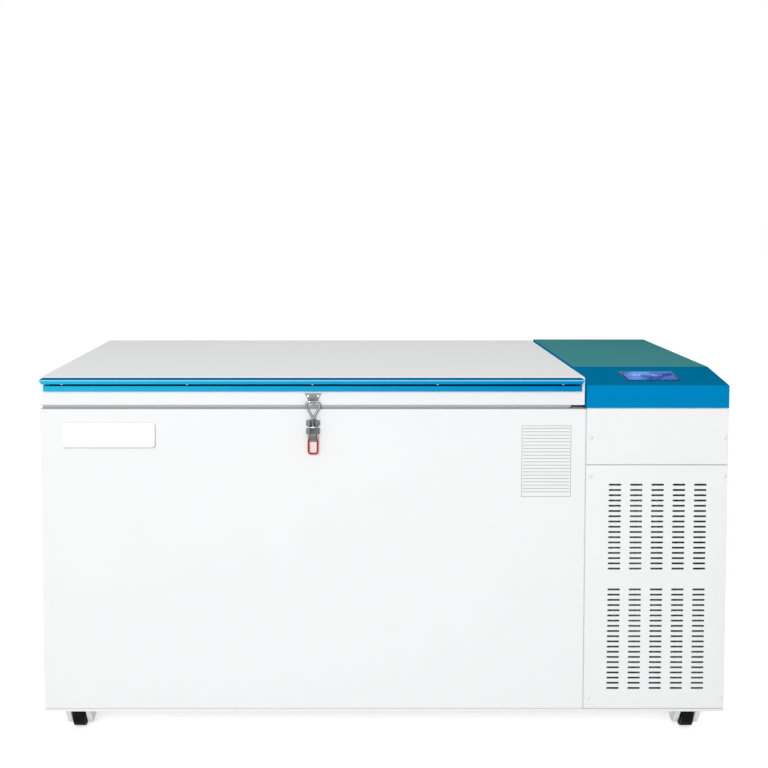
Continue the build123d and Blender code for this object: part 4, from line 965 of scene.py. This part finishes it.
grooveScrews = dict(x=(-0.926, -0.566, -0.207, 0.152, 0.512), z=1.0522)
places = [(x, lidLow.y - trim["back"] - trim["shadeStrip"], grooveScrews["z"]) for x in grooveScrews["x"]]
wear(spread(masterScrew, "grooveScrews", places, "front"), "brass_screw", "lid", "latch_steel")

keeperScrews = dict(apart=0.0145, z=1.0185, plate=0.002, size=1.2)
places = [(bail["x"] + side * keeperScrews["apart"], lidLow.y - keeperScrews["plate"], keeperScrews["z"])
          for side in (-1, 1)]
wear(spread(masterScrew, "keeperScrews", places, "front", keeperScrews["size"]),
     "zinc_screw", "lid", "latch_steel")

leafScrews = dict(x=(-0.655, 0.245), apart=0.03, plate=0.003, size=1.3, rows={
    "lowerLeafScrews": ("cabinet", (0.912, 0.944)), "upperLeafScrews": ("lid", (1.026, 1.055))})
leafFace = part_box("chest_shell")[1].y + leafScrews["plate"]
for name, (body, levels) in leafScrews["rows"].items():
    places = [(x + side * leafScrews["apart"], leafFace, z)
              for x in leafScrews["x"] for side in (-1, 1) for z in levels]
    wear(spread(masterScrew, name, places, "back", leafScrews["size"]), "zinc_screw", body, "latch_steel")

rearScrews = dict(inset=0.012, panelRise=0.03, plateRise=0.02, size=1.2)
for name, node, rise in (("rearScrews", "rear_panel", rearScrews["panelRise"]),
                         ("serviceScrews", "service_plate", rearScrews["plateRise"])):
    low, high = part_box(node)
    levels = [low.z + rise, high.z - rise]
    if node == "rear_panel":
        levels.insert(1, (low.z + high.z) / 2)
    sides = (low.x + rearScrews["inset"], high.x - rearScrews["inset"])
    places = [(x, high.y, z) for x in sides for z in levels]
    wear(spread(masterScrew, name, places, "back", rearScrews["size"]),
         "zinc_screw", "cabinet", "latch_steel")

sidePanel = dict(edge=0.0006, inset=0.016, rise=0.04, sink=0.0046, depth=0.0011, size=1.2, flat=0.48)


def makeSidePanel():  # countersunk heads, flush with the sheet
    s = sidePanel
    low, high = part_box("side_panel")
    levels = (low.z + s["rise"], (low.z + high.z) / 2, high.z - s["rise"])
    pits = [(high.x, y, z) for y in (low.y + s["inset"], high.y - s["inset"]) for z in levels]
    obj = softCopy("side_panel", s["edge"])
    for place in pits:
        cutBy(obj, disc("sidePit", s["sink"], 2 * s["depth"], place, "X", sides=24))
    smooth(obj, angle=35)
    wear(obj, "white_paint", "cabinet", slotOf["side_panel"], "side_panel")
    heads = spread(masterScrew, "sideScrews", [(x - s["depth"], y, z) for x, y, z in pits], "right",
                   s["size"], s["flat"])
    wear(heads, "zinc_screw", "cabinet", "latch_steel")


makeSidePanel()
bpy.data.objects.remove(masterScrew)
bpy.data.objects.remove(masterCap)
print("screws and caps ready")

# caster wheels: tyre with rounded shoulders and a dished hub
wheel = dict(shoulder=0.0022, shoulderSteps=4, dishAt=0.011, dishDepth=0.003, hubAt=0.013, edge=0.0006,
             sides=56, centreSlack=0.001, rimSlack=0.0005)


def makeWheel():
    s = wheel
    low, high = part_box("caster_wheel_" + corners[0])
    middle, radius = (low + high) / 2, (high.z - low.z) / 2
    fromAxle = lambda p: (p - middle).yz.length
    obj = disc("casterTyre", radius, high.x - low.x, middle, "X", s["sides"])
    for inward, depth in ((s["dishAt"], -s["dishDepth"]), (s["hubAt"], s["dishDepth"])):
        for side in (-1, 1):
            editPick(obj, "FACE", lambda c, n: n.x * side > square and fromAxle(c) < s["centreSlack"])
            bpy.ops.mesh.inset(thickness=inward)
            bpy.ops.mesh.extrude_region_move(TRANSFORM_OT_translate={"value": (side * depth, 0, 0)})
            leaveEdit()
    rim = radius - s["rimSlack"]
    bevelEdges(obj, lambda a, b: min(fromAxle(a), fromAxle(b)) > rim and abs(a.x - b.x) < near,
               s["shoulder"], s["shoulderSteps"])
    roundEdges(obj, s["edge"], angle=50)
    smooth(obj)
    return obj, middle


tyre, tyreMiddle = makeWheel()
for corner in corners[1:]:
    low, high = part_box("caster_wheel_" + corner)
    twin = copyTo(tyre, "casterTyre_" + corner, (low + high) / 2 - tyreMiddle)
    wear(twin, "wheel_black", "wheel_" + corner, "wheel_black", "caster_wheel_" + corner)
wear(tyre, "wheel_black", "wheel_" + corners[0], "wheel_black", "caster_wheel_" + corners[0])
print("casters ready")

# touch screen: cover glass, lit panel and plain readings; a reading is its text, place and size
glow = dict(cloud=14.0, stops=(0.38, 0.68), indigo=(0.014, 0.035, 0.24), glare=(0.14, 0.28, 0.68),
            pale=(0.85, 0.92, 1), strength=1.2, base=(0.002, 0.003, 0.01), rough=0.3)
screen = dict(rise=0.027, run=0.19, edge=0.0006, border=0.0055, corner=0.003, lift=0.00008,
              digits=(("-86.0", 0.022, 0.006, 0.017), ("25.0", -0.036, 0.006, 0.013)), curve=3,
              lamps=(-0.052, -0.026, 0.0, 0.026, 0.052), lampRadius=0.0011, lampShare=0.5, lampRound=0.4)


def makeGlow(name, *shades):  # a soft cloud from one shade to the other
    mat = bpy.data.materials.new(name)
    mat.use_nodes = True
    tree = mat.node_tree
    shader = tree.nodes["Principled BSDF"]
    coords = tree.nodes.new("ShaderNodeTexCoord")
    ramp = tree.nodes.new("ShaderNodeValToRGB")
    for stop, position, shade in zip(ramp.color_ramp.elements, glow["stops"], shades):
        stop.position = position
        stop.color = (*shade, 1)
    tree.links.new(noiseAt(tree, coords.outputs["Object"], glow["cloud"]), ramp.inputs["Fac"])
    tree.links.new(ramp.outputs["Color"], shader.inputs["Emission Color"])
    shader.inputs["Emission Strength"].default_value = glow["strength"]
    shader.inputs["Base Color"].default_value = (*glow["base"], 1)
    shader.inputs["Roughness"].default_value = glow["rough"]
    shader.inputs["Specular IOR Level"].default_value = 0.0
    return mat


def makeScreen():
    s = screen
    slope, lift = math.atan2(s["rise"], s["run"]), s["lift"]
    low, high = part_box("display_screen")
    up = Vector((0, -math.sin(slope), math.cos(slope)))
    middle = (low + high) / 2
    top = max((v.co - middle).dot(up) for v in nodes["display_screen"].data.vertices)
    length = (high.y - low.y) / math.cos(slope)

    def lay(obj):  # from flat at the origin onto the glass
        obj.rotation_euler = (slope, 0, 0)
        obj.location = middle + up * top
        settle(obj)

    wear(softCopy("display_screen", s["edge"]), "screen_glass", "cabinet", "screen_glass", "display_screen")
    clearPick()
    bpy.ops.mesh.primitive_plane_add(size=1, location=(0, 0, 0))
    lit = bpy.context.object
    lit.name = "screenLit"
    lit.scale = (high.x - low.x - 2 * s["border"], length - 2 * s["border"], 1)
    settle(lit)
    editAll(lit)
    bpy.ops.mesh.bevel(offset=s["corner"], segments=3, affect="VERTICES")
    bpy.ops.mesh.select_all(action="SELECT")
    bpy.ops.mesh.extrude_region_move(TRANSFORM_OT_translate={"value": (0, 0, lift)})
    leaveEdit()
    facesOut(lit)
    lay(lit)
    wear(lit, "screen_lit", "cabinet", "screen_glass")
    words = []
    for body, x, y, size in s["digits"]:
        clearPick()
        bpy.ops.object.text_add(location=(0, 0, 0))
        word = bpy.context.object
        word.data.body = body
        word.data.size = size
        word.data.align_x = "CENTER"
        word.data.align_y = "CENTER"
        word.data.extrude = lift / 2
        word.data.resolution_u = s["curve"]
        wake(word)
        bpy.ops.object.convert(target="MESH")
        word = bpy.context.object
        word.location = (x, y, lift)
        settle(word)
        lay(word)
        words.append(word)
    for x in s["lamps"]:
        place = (x, -length / 2 + s["border"] * s["lampShare"], lift / 2)
        dot = disc("screenLamp", s["lampRadius"], lift, place, sides=16)
        roundEdges(dot, lift * s["lampRound"], segments=1)
        lay(dot)
        words.append(dot)
    wear(joinAll(words, "screenDigits"), "screen_digit", "cabinet", "screen_glass")


materials["screen_lit"] = makeGlow("screen_lit", glow["indigo"], glow["glare"])
materials["screen_digit"] = makeGlow("screen_digit", glow["glare"], glow["pale"])
makeScreen()
print("screen ready")

# strips in the joints, chest to housing and shell to base pan, coloured as painted shade: the thin shade
# lines of those gaps
seam = dict(sunk=0.0001, deep=0.006, topGap=0.004, edge=0.0003, proud=0.0002, panLow=0.1003, panHigh=0.1013,
            leftGap=0.008, rightGap=0.003, panEdge=0.0001)


def makeSeams():
    s = seam
    chestLow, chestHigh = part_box("chest_shell")
    houseLow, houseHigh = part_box("upper_front_panel")
    back = chestLow.y + s["deep"]
    upright = block("jointStrip", (chestHigh.x, chestLow.y + s["sunk"], chestLow.z),
                    (houseLow.x, back, chestHigh.z - s["topGap"]))
    roundEdges(upright, s["edge"])
    wear(upright, "seam_shade_pale", "cabinet", "gasket_rubber")
    level = block("panStrip", (chestLow.x + s["leftGap"], chestLow.y - s["proud"], s["panLow"]),
                  (houseHigh.x - s["rightGap"], back, s["panHigh"]))
    roundEdges(level, s["panEdge"])
    wear(level, "seam_shade_dark", "cabinet", "gasket_rubber")


makeSeams()
print("joint strips ready")
